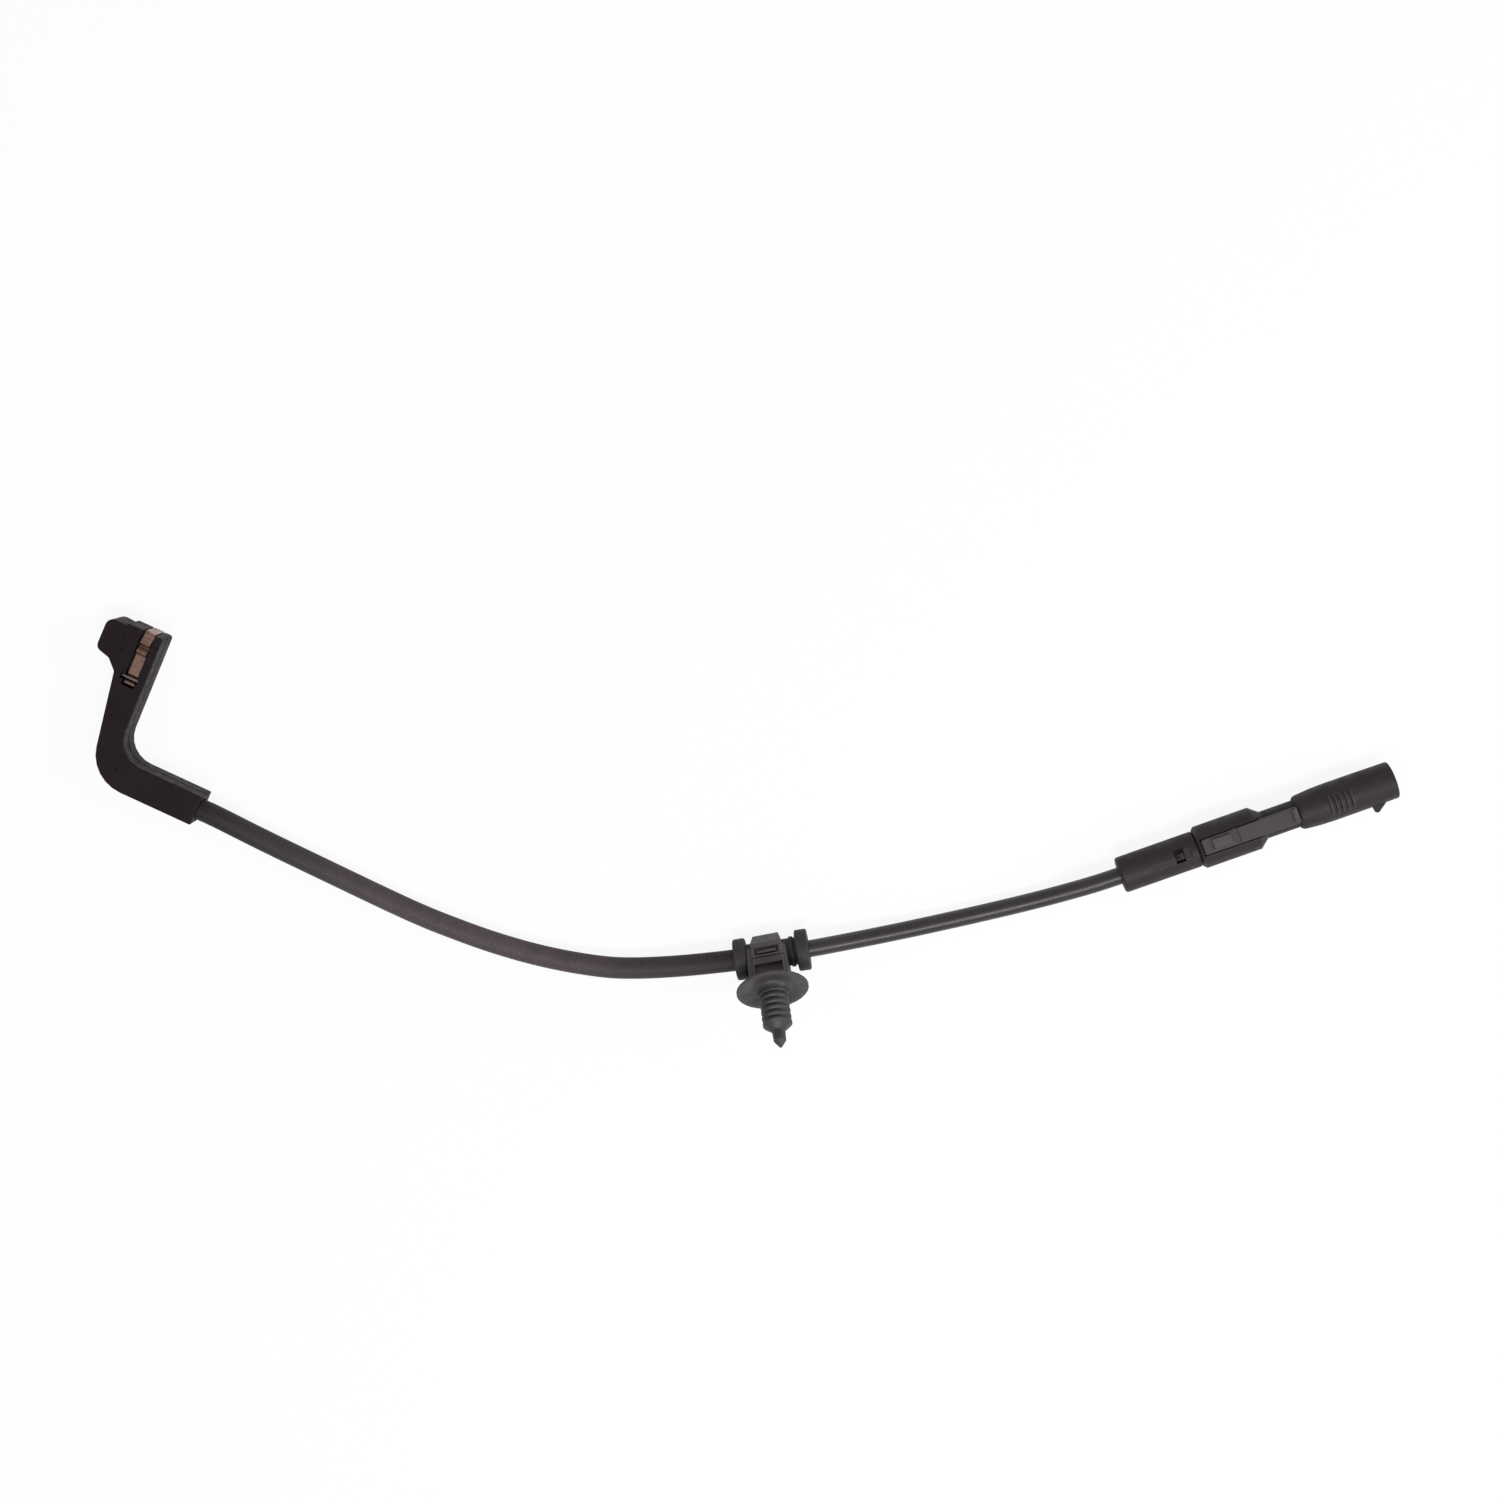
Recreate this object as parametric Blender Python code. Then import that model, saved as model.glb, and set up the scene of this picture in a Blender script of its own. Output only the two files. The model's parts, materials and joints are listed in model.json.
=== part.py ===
"""Brake pad wear sensor: a sensor head for the brake pad, a sleeved lead with its mounting clip, and a round plug.

Lengths are in metres and +Z is up. The sensor lies on the plane z = 0 as it comes to rest. +X runs along
the plug, towards its mouth, and the origin is under the middle of the sensor without its lead.
"""

import math

import bmesh
import bpy
from mathutils import Matrix, Vector

# Fits
GAP = 0.0003  # between pieces that seat on, or fit in, each other
CUT_OVER = 0.002  # how far a cutter runs past the face that it opens

# Places of the three assemblies on the surface, and the way that each points
HEAD_EXIT = (-0.1631, 0.0321)  # middle of the head's end face, where the lead leaves it
HEAD_TURN = math.radians(-45.5)
GROMMET_PLACE = (-0.0108, -0.0731)  # middle of the grommet
GROMMET_TURN = math.radians(-11.0)
CLIP_SLIDE = -0.0014  # along the grommet
CLIP_SWING = math.radians(2.0)  # the clip's play on the grommet
STUD_LEAN = math.radians(46.0)  # from straight up
PLUG_REAR = (0.0995, -0.0863)  # middle of the connector's rear face
PLUG_ROLL = math.radians(-9.5)

# Lead
CABLE_DIAMETER = 0.0054
SLEEVE_DIAMETER = 0.0069
CORE_DIAMETER = 0.0014
CORE_SPREAD = 0.0030  # between the middles of the two cores, at both ends of the cable
CABLE_IN_HEAD = 0.0120
SLEEVE_IN_HEAD = 0.0055
SLEEVE_IN_GROMMET = 0.0131
CABLE_IN_PLUG = 0.0100
LEAD_STATIONS = 46
LEAD_SIDES = 12

# Sensor head, seen from above with the lead leaving along its own +X
HEAD_THICKNESS = 0.0106
HEAD_EDGE = 0.0004
LOWER_ARM_WIDTH = 0.0098
INNER_WALL = 0.0295  # from the end face to the upper arm's inner wall
INNER_LEAN = 0.0005  # how far that wall leans back by the arm's end
INNER_BEND = 0.0088
OUTER_BEND = 0.0124
ARM_ROOT_WIDTH = 0.0065  # the upper arm's width where it leaves the lower arm
ARM_TAPER = math.radians(9.4)
ARM_END = 0.04525  # from the lead's axis to the upper arm's end wall
BLOCK_REACH = 0.0185  # the wear block's far side, from the inner wall
BLOCK_END = 0.0444
BLOCK_RISE = 0.0004  # of the end wall, at its far side
BLOCK_BASE = 0.0341
BLOCK_SLANT = 0.0013
BLOCK_CORNER = 0.0021
BLOCK_END_CORNER = 0.0027
BLOCK_HEEL = 0.0137  # the underside's near end, from the inner wall
BLOCK_GUSSET = 0.0032  # how far down the arm the block's gusset reaches
LIP_START = 0.0125  # the raised lip beside the block, from the inner wall
LIP_SLOPE = 0.0004
WALL_GROOVE_WIDTH = 0.0006
WALL_GROOVE_DEPTH = 0.00035
DIMPLE_DIAMETER = 0.0012
DIMPLE_DEPTH = 0.0003
LEAD_OFFSET = -0.00035  # the lead's axis, beside the lower arm's middle
SPLICE_DIAMETER = 0.0027
SPLICE_LENGTH = 0.0060
SPLICE_HOLE_DEPTH = 0.0022
SPLICE_PLACE = 0.0150  # the splices' near ends, from the end face
SPLICE_SPREAD = 0.0038
LOOP_DIAMETER = 0.0014
LOOP_INNER_BEND = 0.0065
LOOP_OUTER_BEND = 0.0090
LOOP_CORNER = 0.0017
LOOP_WALL = 0.0022  # the loop's inner strand, from the arm's inner wall
LOOP_SPACING = 0.0029
LOOP_LOW = 0.0372
LOOP_HIGH = 0.0414
LOOP_FAR = 0.0157  # the loop's far side, from the inner wall

# Leaf spring
SPRING_WIDTH = 0.0032
SPRING_THICKNESS = 0.0004
SPRING_WALL = 0.00327  # from the arm's inner wall
SPRING_SLOT_SIDE = 0.0007
SPRING_LEG = 0.0094  # down the end wall
SPRING_CORNER = 0.0008
SPRING_PROUD = 0.0002  # how far the leg stands out of the end wall
SLOT_DEPTH = 0.0016
WAVE_START = 0.0018
WAVE_LENGTH = 0.0031
WAVE_COUNT = 2
WAVE_HEIGHT = 0.0013
PIN_DIAMETER = 0.0012
PIN_LENGTH = 0.0052
PIN_PLACE = 0.0295
PIN_DEPTH = 0.0017
PIN_OVERHANG = 0.0004
HOOK_LIP = 0.0013

# Grommet
FLANGE_DIAMETER = 0.0130
FLANGE_THICKNESS = 0.0039
FLANGE_SPACING = 0.01955
FLANGE_EDGE = 0.0006
GROMMET_BODY = 0.0087
GROMMET_RING = 0.0096
GROMMET_RING_START = 0.0057
GROMMET_RING_WIDTH = 0.0015

# Mounting clip; its own +Z runs along the stud
CLIP_LENGTH = 0.0100
CLIP_SHIFT = 0.00035  # of the clip's block, from the stud's axis
CLIP_TOP_LENGTH = 0.0080  # at the clip's back
CHEEK_LENGTH = 0.0126
CHEEK_INSET = 0.0007
CHEEK_START = -0.0004
CLIP_HALF_WIDTH = 0.0060
CLIP_BACK = 0.00645
CLIP_BACK_HALF = 0.0022
CLIP_SLOPE_END = 0.0014
CLIP_EDGE = 0.0004
DISC_PLACE = 0.0115
DISC_DIAMETER = 0.0227
DISC_THICKNESS = 0.0010
DISC_DISH = 0.0009
DISC_LAND = 0.0013
WINDOW_IN_CLIP = 0.0077
WINDOW_IN_CLIP_HEIGHT = 0.0028
WINDOW_IN_CLIP_DEPTH = 0.0011
TOOTH_WIDTH = 0.0058
TOOTH_START = 0.0010
TOOTH_HEIGHT = 0.0011
SEAM_PLACE = 0.00345  # between the strap's end and the clip's base
SEAM_WIDTH = 0.0004
SEAM_DEPTH = 0.0009
POCKET_WIDTH = 0.0088
POCKET_LOW = 0.0060
POCKET_HIGH = 0.0094
POCKET_DEPTH = 0.0016
STUD_ROOT = 0.0085
STUD_CORE = 0.0078
RIB_DIAMETER = 0.0092
RIB_COUNT = 6
RIB_PITCH = 0.00212
RIB_FIRST = 0.0024  # from the disc's plane
STUD_PIN = 0.0042
STUD_PIN_TAPER = 0.00015
STUD_PIN_START = 0.0155
STUD_PIN_END = 0.0188
STUD_TIP = 0.0212

# Connector, along its own axis from the rear face
CAP_DIAMETER = 0.0114
CAP_LENGTH = 0.0248
CAP_WALL = 0.00118
CAP_REAR_WALL = 0.0024
CAP_EDGE = 0.0009
WINDOW_START = 0.0172
WINDOW_LENGTH = 0.0031
WINDOW_WIDTH = 0.0042
SADDLE_LENGTH = 0.0022
SADDLE_WIDTH = 0.0030
SADDLE_DEPTH = 0.0003
HOOK_WIDTH = 0.0014
HOOK_HEIGHT = 0.0010
SEAL_START = 0.0027
SEAL_LENGTH = 0.0062
SEAL_LOBES = 3
SEAL_LOBE_DEPTH = 0.0004
COLLAR_DIAMETER = 0.0135
COLLAR_END = 0.0435
COLLAR_EDGE = 0.0009
NECK_DIAMETER = 0.0087
NECK_START = 0.0464
BODY_START = 0.0120
BODY_BORE = 0.0058
SHELL_START = 0.0571
SHELL_DIAMETER = 0.0120
SHELL_REAR_DIAMETER = 0.0100
SHELL_MOUTH_DIAMETER = 0.0117
SHELL_SHOULDER = 0.0015
SHELL_SHOULDER_RISE = 0.0005
SHELL_FULL = 0.0670
MOUTH_EDGE = 0.0004
SHELL_WALL = 0.00118
PLUG_LENGTH = 0.0878
SPIGOT_END = 0.0642
RING_PLACE = 0.0608
RING_SECTION = 0.0008
STOP_PLACE = 0.0708
STOP_WIDTH = 0.0012
STOP_HEIGHT = 0.0007
BAR_START = 0.0014  # ahead of the cap's front end
BAR_REAR_WIDTH = 0.0049
BAR_FRONT_WIDTH = 0.0052
BAR_TOP = 0.0065  # from the connector's axis
BAR_PAD_START = 0.0030  # from the bar's rear end
BAR_PAD_LENGTH = 0.0063
BAR_PAD_WIDTH = 0.0035
BAR_PAD_HEIGHT = 0.0005
BAR_GROOVE_LENGTH = 0.0021
BAR_GROOVE_DEPTH = 0.0004
BAR_LIP_LENGTH = 0.0019
BAR_LIP_HEIGHT = 0.0004
GRIP_RIB_COUNT = 5
GRIP_RIB_FIRST = 0.0669
GRIP_RIB_PITCH = 0.00168
GRIP_RIB_WIDTH = 0.0010
GRIP_RIB_HEIGHT = 0.0004
GRIP_RIB_SWEEP = math.radians(22.0)
GRIP_RIB_TURN = math.radians(-8.0)
NUB_START = 0.0085  # back from the plug's mouth
NUB_LENGTH = 0.0048
NUB_HEIGHT = 0.0020
NUB_WIDTH = 0.0026
CONTACT_DIAMETER = 0.0012
CONTACT_BARREL = 0.0021
CONTACT_BARREL_START = 0.0565
CONTACT_BARREL_END = 0.0630
CONTACT_HOLE_DEPTH = 0.0030
CONTACT_END = 0.0803

# Heights of the lead's axis over the surface
HEAD_AXIS = HEAD_THICKNESS / 2
GROMMET_AXIS = FLANGE_DIAMETER / 2
PLUG_AXIS = COLLAR_DIAMETER / 2

ROUND_STEPS = 32


def clear_scene():
    for obj in list(bpy.data.objects):
        bpy.data.objects.remove(obj, do_unlink=True)


def make_material(name, colour, roughness, metallic=0.0):
    material = bpy.data.materials.new(name)
    material.use_nodes = True
    shader = material.node_tree.nodes["Principled BSDF"]
    shader.inputs["Base Color"].default_value = (*colour, 1.0)
    shader.inputs["Roughness"].default_value = roughness
    shader.inputs["Metallic"].default_value = metallic
    return material


def make_empty(name, location, rotation):
    empty = bpy.data.objects.new(name, None)
    empty.location = location
    empty.rotation_euler = rotation
    bpy.context.scene.collection.objects.link(empty)
    return empty


def make_object(name, bm, material, parent):
    """An object from a closed bmesh, in its parent's frame."""
    bmesh.ops.remove_doubles(bm, verts=bm.verts, dist=1e-7)
    bmesh.ops.recalc_face_normals(bm, faces=bm.faces)
    bmesh.ops.triangulate(bm, faces=bm.faces)
    mesh = bpy.data.meshes.new(name)
    bm.to_mesh(mesh)
    bm.free()
    mesh.shade_smooth()
    mesh.set_sharp_from_angle(angle=math.radians(20))
    if material:
        mesh.materials.append(material)
    obj = bpy.data.objects.new(name, mesh)
    obj.parent = parent
    bpy.context.scene.collection.objects.link(obj)
    return obj


def cut(target, bm, name, operation="DIFFERENCE"):
    """Cuts a bmesh from an object, or joins it on, with a Boolean whose other mesh is a hidden helper."""
    helper = make_object(name, bm, None, target.parent)
    helper.hide_render = True
    helper.display_type = "WIRE"
    modifier = target.modifiers.new(name, "BOOLEAN")
    modifier.operation = operation
    modifier.object = helper
    return modifier


def add_box(bm, low, high):
    places = [(x, y, z) for x in (low[0], high[0]) for y in (low[1], high[1]) for z in (low[2], high[2])]
    verts = [bm.verts.new(place) for place in places]
    for face in ((0, 1, 3, 2), (4, 6, 7, 5), (0, 4, 5, 1), (2, 3, 7, 6), (0, 2, 6, 4), (1, 5, 7, 3)):
        bm.faces.new([verts[i] for i in face])


def box(low, high):
    bm = bmesh.new()
    add_box(bm, low, high)
    return bm


def rounded(corners, steps=6):
    """A closed outline from corners (x, y, radius), with each corner turned into an arc."""
    points = []
    count = len(corners)
    for i, (x, y, radius) in enumerate(corners):
        here = Vector((x, y))
        back = (Vector(corners[i - 1][:2]) - here).normalized()
        ahead = (Vector(corners[(i + 1) % count][:2]) - here).normalized()
        points.extend(arc_corner(here, back, ahead, radius, steps))
    return points


def arc_corner(here, back, ahead, radius, steps):
    """The points of an arc that rounds a corner; back and ahead point away from it along its two sides."""
    half = back.angle(ahead) / 2
    if radius <= 0 or half > math.radians(89.9):
        return [here]
    reach = radius / math.tan(half)
    middle = here + (back + ahead).normalized() * (radius / math.sin(half))
    start = here + back * reach - middle
    turn = math.pi - 2 * half
    if back.cross(ahead) > 0:
        turn = -turn
    return [middle + Matrix.Rotation(turn * k / steps, 2) @ start for k in range(steps + 1)]


def rounded_path(corners, steps=6):
    """An open line from corners (x, y, radius), its inner corners turned into arcs."""
    points = [Vector(corners[0][:2])]
    for before, (x, y, radius), after in zip(corners, corners[1:], corners[2:]):
        here = Vector((x, y))
        back = (Vector(before[:2]) - here).normalized()
        ahead = (Vector(after[:2]) - here).normalized()
        points.extend(arc_corner(here, back, ahead, radius, steps))
    points.append(Vector(corners[-1][:2]))
    return points


def add_prism(bm, outline, low, high, place):
    """Extrudes an outline; place turns an outline's point and a height into a point in space."""
    bottom = [bm.verts.new(place(p, low)) for p in outline]
    top = [bm.verts.new(place(p, high)) for p in outline]
    ends = [bm.faces.new(bottom), bm.faces.new(top)]
    for i in range(len(outline)):
        j = (i + 1) % len(outline)
        bm.faces.new((bottom[i], bottom[j], top[j], top[i]))
    return ends


def prism(outline, low, high, place, edge=0.0):
    """A prism whose two ends have their edges bevelled."""
    bm = bmesh.new()
    ends = add_prism(bm, outline, low, high, place)
    bmesh.ops.recalc_face_normals(bm, faces=bm.faces)
    if edge:
        rims = {e for face in ends for e in face.edges}
        bmesh.ops.bevel(bm, geom=list(rims), offset=edge, segments=2, profile=0.5, affect="EDGES",
                        clamp_overlap=True)
    return bm


def upright(p, height):
    return (p[0], p[1], height)


def along_x(p, height):
    return (height, p[0], p[1])


def turned(profile, steps=ROUND_STEPS, axis="X", middle=(0.0, 0.0, 0.0)):
    """Turns a closed profile of (place along the axis, radius) round the X or Z axis."""
    bm = bmesh.new()
    if axis == "X":
        verts = [bm.verts.new((s, 0.0, r)) for s, r in profile]
        way = Vector((1.0, 0.0, 0.0))
    else:
        verts = [bm.verts.new((r, 0.0, s)) for s, r in profile]
        way = Vector((0.0, 0.0, 1.0))
    edges = [bm.edges.new((verts[i], verts[(i + 1) % len(verts)])) for i in range(len(verts))]
    bmesh.ops.spin(bm, geom=verts + edges, cent=(0, 0, 0), axis=way, angle=2 * math.pi, steps=steps,
                   use_merge=True)
    bmesh.ops.remove_doubles(bm, verts=bm.verts, dist=1e-7)
    bmesh.ops.delete(bm, geom=[e for e in bm.edges if not e.link_faces], context="EDGES")
    bmesh.ops.recalc_face_normals(bm, faces=bm.faces)
    bmesh.ops.translate(bm, verts=bm.verts, vec=Vector(middle))
    return bm


def rod(start, end, radius, steps=16):
    """A plain round rod along X, as a profile."""
    return turned([(start, 0.0), (start, radius), (end, radius), (end, 0.0)], steps)


def quarter(s, r, radius, first, steps=3):
    """A quarter round about (s, r), from the angle first on, turning clockwise."""
    angles = [first - math.pi / 2 * k / steps for k in range(steps + 1)]
    return [(s + radius * math.cos(a), r + radius * math.sin(a)) for a in angles]


def smooth_line(stops, count):
    """Evenly spaced points on a smooth curve through the stops."""
    stops = [Vector(p) for p in stops]
    ends = [2 * stops[0] - stops[1], *stops, 2 * stops[-1] - stops[-2]]
    fine = []
    for a, b, c, d in zip(ends, ends[1:], ends[2:], ends[3:]):
        for k in range(16):
            t = k / 16
            fine.append(0.5 * (2 * b + (c - a) * t + (2 * a - 5 * b + 4 * c - d) * t * t
                               + (3 * b - a - 3 * c + d) * t ** 3))
    fine.append(stops[-1])
    lengths = [0.0]
    for a, b in zip(fine, fine[1:]):
        lengths.append(lengths[-1] + (b - a).length)
    points = []
    k = 0
    for i in range(count):
        want = lengths[-1] * i / (count - 1)
        while k < len(fine) - 2 and lengths[k + 1] < want:
            k += 1
        share = (want - lengths[k]) / (lengths[k + 1] - lengths[k])
        points.append(fine[k].lerp(fine[k + 1], min(share, 1.0)))
    return points


def rings_along(line, radius, sides):
    """Rings of points round a line, which turn with it and never twist."""
    rings = []
    side = None
    for i, point in enumerate(line):
        way = (line[min(i + 1, len(line) - 1)] - line[max(i - 1, 0)]).normalized()
        side = way.orthogonal() if side is None else side - way * side.dot(way)
        side.normalize()
        other = way.cross(side)
        angles = [2 * math.pi * k / sides for k in range(sides)]
        rings.append([point + (side * math.cos(a) + other * math.sin(a)) * radius for a in angles])
    return rings


def add_skin(bm, rings):
    rows = [[bm.verts.new(p) for p in ring] for ring in rings]
    for low, high in zip(rows, rows[1:]):
        for i in range(len(low)):
            j = (i + 1) % len(low)
            bm.faces.new((low[i], low[j], high[j], high[i]))
    return rows


def tube(line, radius, sides=8):
    """A solid round tube along a line."""
    bm = bmesh.new()
    rows = add_skin(bm, rings_along(line, radius, sides))
    bm.faces.new(rows[0])
    bm.faces.new(rows[-1])
    return bm


def sleeve_tube(line, outer, inner, sides):
    """A hollow round tube along a line, open at both ends."""
    bm = bmesh.new()
    outside = add_skin(bm, rings_along(line, outer, sides))
    inside = add_skin(bm, rings_along(line, inner, sides))
    for end in (0, -1):
        for i in range(sides):
            j = (i + 1) % sides
            bm.faces.new((outside[end][i], outside[end][j], inside[end][j], inside[end][i]))
    return bm


def cord(name, line, diameter, material):
    """A cord as a curve with a round bevel and filled caps."""
    curve = bpy.data.curves.new(name, "CURVE")
    curve.dimensions = "3D"
    curve.bevel_depth = diameter / 2
    curve.bevel_resolution = LEAD_SIDES // 2 - 2
    curve.use_fill_caps = True
    spline = curve.splines.new("POLY")
    spline.points.add(len(line) - 1)
    for point, place in zip(spline.points, line):
        point.co = (*place, 1.0)
    curve.materials.append(material)
    obj = bpy.data.objects.new(name, curve)
    bpy.context.scene.collection.objects.link(obj)
    return obj


# Lead


def in_head(along, beside=LEAD_OFFSET, height=HEAD_AXIS):
    """A place on the surface from the head's own frame."""
    turn = Matrix.Rotation(HEAD_TURN, 2)
    place = Vector(HEAD_EXIT) + turn @ Vector((along, beside))
    return (place.x, place.y, height)


def in_grommet(along):
    turn = Matrix.Rotation(GROMMET_TURN, 2)
    place = Vector(GROMMET_PLACE) + turn @ Vector((along, 0.0))
    return (place.x, place.y, GROMMET_AXIS)


def in_plug(along):
    return (PLUG_REAR[0] + along, PLUG_REAR[1], PLUG_AXIS)


def lead_route():
    """The lead's route through chosen places, from the head's end face to the connector's rear face."""
    half_grommet = (FLANGE_SPACING + FLANGE_THICKNESS) / 2
    return [
        in_head(0.0),
        in_head(0.006),
        (-0.1497, 0.0167, 0.0040),
        (-0.1383, 0.0044, 0.0035),
        (-0.1152, -0.0197, 0.0035),
        (-0.1032, -0.0310, 0.0035),
        (-0.0909, -0.0413, 0.0035),
        (-0.0781, -0.0504, 0.0036),
        (-0.0647, -0.0581, 0.0040),
        (-0.0541, -0.0626, 0.0045),
        (-0.0394, -0.0669, 0.0055),
        in_grommet(-half_grommet),
        in_grommet(0.0),
        in_grommet(half_grommet),
        (0.0243, -0.0795, 0.0044),
        (0.0472, -0.0828, 0.0033),
        (0.0701, -0.0853, 0.0037),
        (0.0880, -0.0862, 0.0058),
        in_plug(0.0),
    ]


def build_lead(jacket, braid):
    route = lead_route()
    cable_line = smooth_line([in_head(-CABLE_IN_HEAD), *route, in_plug(CABLE_IN_PLUG)], LEAD_STATIONS)
    cord("cable", cable_line, CABLE_DIAMETER, jacket)
    last = route.index(in_grommet(0.0))
    half_grommet = (FLANGE_SPACING + FLANGE_THICKNESS) / 2
    sleeve_stops = [in_head(-SLEEVE_IN_HEAD), *route[:last], in_grommet(SLEEVE_IN_GROMMET - half_grommet)]
    sleeve_line = smooth_line(sleeve_stops, round(LEAD_STATIONS * 0.62))
    sleeve = sleeve_tube(sleeve_line, SLEEVE_DIAMETER / 2, CABLE_DIAMETER / 2 + GAP, LEAD_SIDES)
    make_object("braided_sleeve", sleeve, braid, None)


# Sensor head


def arm_outer(height):
    """The upper arm's outer side at a height over the lead's axis, which the arm's taper moves outwards."""
    return -INNER_WALL - ARM_ROOT_WIDTH - (height - LOWER_ARM_WIDTH / 2) * math.tan(ARM_TAPER)


def head_outline():
    half = LOWER_ARM_WIDTH / 2
    low = BLOCK_BASE - BLOCK_SLANT
    far = -INNER_WALL - BLOCK_REACH
    lip = -INNER_WALL - LIP_START
    corners = [
        (0.0, -half, 0.0005),
        (0.0, half, 0.0004),
        (-INNER_WALL, half, INNER_BEND),
        (-INNER_WALL - INNER_LEAN, ARM_END, 0.0010),
        (lip + LIP_SLOPE, ARM_END, 0.0003),
        (lip, BLOCK_END, 0.0),
        (far, BLOCK_END + BLOCK_RISE, BLOCK_END_CORNER),
        (far, BLOCK_BASE, BLOCK_CORNER),
        (-INNER_WALL - BLOCK_HEEL, low, 0.0006),
        (arm_outer(low - BLOCK_GUSSET), low - BLOCK_GUSSET, 0.0012),
        (arm_outer(-half), -half, OUTER_BEND),
    ]
    return rounded(corners)


def loop_line():
    """The wear loop: up the inner strand, round the block and down the outer strand."""
    inner = -INNER_WALL - LOOP_WALL
    outer = inner - LOOP_SPACING
    far = -INNER_WALL - LOOP_FAR
    start = -(SPLICE_PLACE + SPLICE_LENGTH - SPLICE_HOLE_DEPTH + GAP)
    first = LEAD_OFFSET + SPLICE_SPREAD / 2
    second = LEAD_OFFSET - SPLICE_SPREAD / 2
    corners = [
        (start, first, 0.0),
        (inner, first, LOOP_INNER_BEND),
        (inner, LOOP_HIGH, LOOP_CORNER),
        (far, LOOP_HIGH, LOOP_CORNER),
        (far, LOOP_LOW, LOOP_CORNER),
        (outer, LOOP_LOW, LOOP_CORNER),
        (outer, second, LOOP_OUTER_BEND),
        (start, second, 0.0),
    ]
    return [Vector((p.x, p.y, HEAD_AXIS)) for p in rounded_path(corners, 4)]


def spring_slot():
    """The slot's two sides, between the leaf spring and the arm's inner wall."""
    right = -INNER_WALL - SPRING_WALL
    return right - SPRING_WIDTH - SPRING_SLOT_SIDE, right + GAP


def cut_head(housing):
    """Opens the head for the lead, the splices, the loop, the spring and its pin."""
    sleeve_hole = SLEEVE_DIAMETER / 2 + GAP
    cable_hole = CABLE_DIAMETER / 2 + GAP
    bore = turned(
        [(CUT_OVER, 0.0), (CUT_OVER, sleeve_hole), (-SLEEVE_IN_HEAD - GAP, sleeve_hole),
         (-SLEEVE_IN_HEAD - GAP, cable_hole), (-CABLE_IN_HEAD - GAP, cable_hole), (-CABLE_IN_HEAD - GAP, 0.0)],
        middle=(0.0, LEAD_OFFSET, HEAD_AXIS), steps=24)
    cut(housing, bore, "lead_bore")
    half_height = SPLICE_DIAMETER / 2 + GAP
    half_width = SPLICE_SPREAD / 2 + half_height
    chamber = box(
        (-SPLICE_PLACE - SPLICE_LENGTH - GAP, LEAD_OFFSET - half_width, HEAD_AXIS - half_height),
        (-CABLE_IN_HEAD + GAP, LEAD_OFFSET + half_width, HEAD_AXIS + half_height))
    cut(housing, chamber, "splice_chamber")
    cut(housing, tube(loop_line(), LOOP_DIAMETER / 2 + GAP), "loop_channel")

    left, right = spring_slot()
    floor = HEAD_THICKNESS - SLOT_DEPTH
    above = HEAD_THICKNESS + CUT_OVER
    pin_height = HEAD_THICKNESS - PIN_DEPTH
    wrap = PIN_DIAMETER / 2 + GAP + SPRING_THICKNESS
    leg_wall = ARM_END + SPRING_PROUD - SPRING_THICKNESS - GAP
    slot = bmesh.new()
    profile = [
        (ARM_END + CUT_OVER, above),
        (PIN_PLACE - wrap - HOOK_LIP, above),
        (PIN_PLACE - wrap - HOOK_LIP, pin_height - wrap - GAP),
        (PIN_PLACE + wrap + 2 * GAP, pin_height - wrap - GAP),
        (PIN_PLACE + wrap + 2 * GAP, floor),
        (leg_wall, floor),
        (leg_wall, -CUT_OVER),
        (ARM_END + CUT_OVER, -CUT_OVER),
    ]
    add_prism(slot, profile, left, right, along_x)
    cut(housing, slot, "spring_slot_cut")
    pin_gap = PIN_DIAMETER / 2 + GAP
    pin_right = right + PIN_OVERHANG
    trough = box(
        (pin_right - PIN_LENGTH - 2 * GAP, PIN_PLACE - pin_gap, pin_height - pin_gap),
        (pin_right, PIN_PLACE + pin_gap, above))
    cut(housing, trough, "pin_trough")


def wall_groove():
    """The moulded groove that runs along the inner walls of both arms."""
    half = LOWER_ARM_WIDTH / 2
    deep = WALL_GROOVE_DEPTH
    end = -INNER_WALL - INNER_LEAN
    path = [(CUT_OVER, half, 0.0), (-INNER_WALL, half, INNER_BEND), (end, ARM_END + CUT_OVER, 0.0)]
    inside = [(CUT_OVER, half - deep, 0.0), (-INNER_WALL - deep, half - deep, INNER_BEND + deep),
              (end - deep, ARM_END + CUT_OVER, 0.0)]
    outside = [(x + CUT_OVER * (x < 0), y + CUT_OVER, max(r - CUT_OVER, 0.0)) for x, y, r in path]
    outline = rounded_path(inside, 8) + rounded_path(outside, 8)[::-1]
    middle = HEAD_THICKNESS / 2
    return prism(outline, middle - WALL_GROOVE_WIDTH / 2, middle + WALL_GROOVE_WIDTH / 2, upright)


def dimples():
    """Round moulding marks on the head's upper face."""
    bm = bmesh.new()
    inner = -INNER_WALL
    places = [
        (inner - 0.0057, 0.0170),
        (inner + 0.0016, 0.0015),
        (inner - 0.0111, 0.0367),
        (inner - 0.0118, 0.0411),
        (inner - 0.0011, 0.0418),
    ]
    angles = [2 * math.pi * k / 10 for k in range(10)]
    for x, y in places:
        outline = [(x + DIMPLE_DIAMETER / 2 * math.cos(a), y + DIMPLE_DIAMETER / 2 * math.sin(a)) for a in angles]
        add_prism(bm, outline, HEAD_THICKNESS - DIMPLE_DEPTH, HEAD_THICKNESS + CUT_OVER, upright)
    return bm


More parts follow.
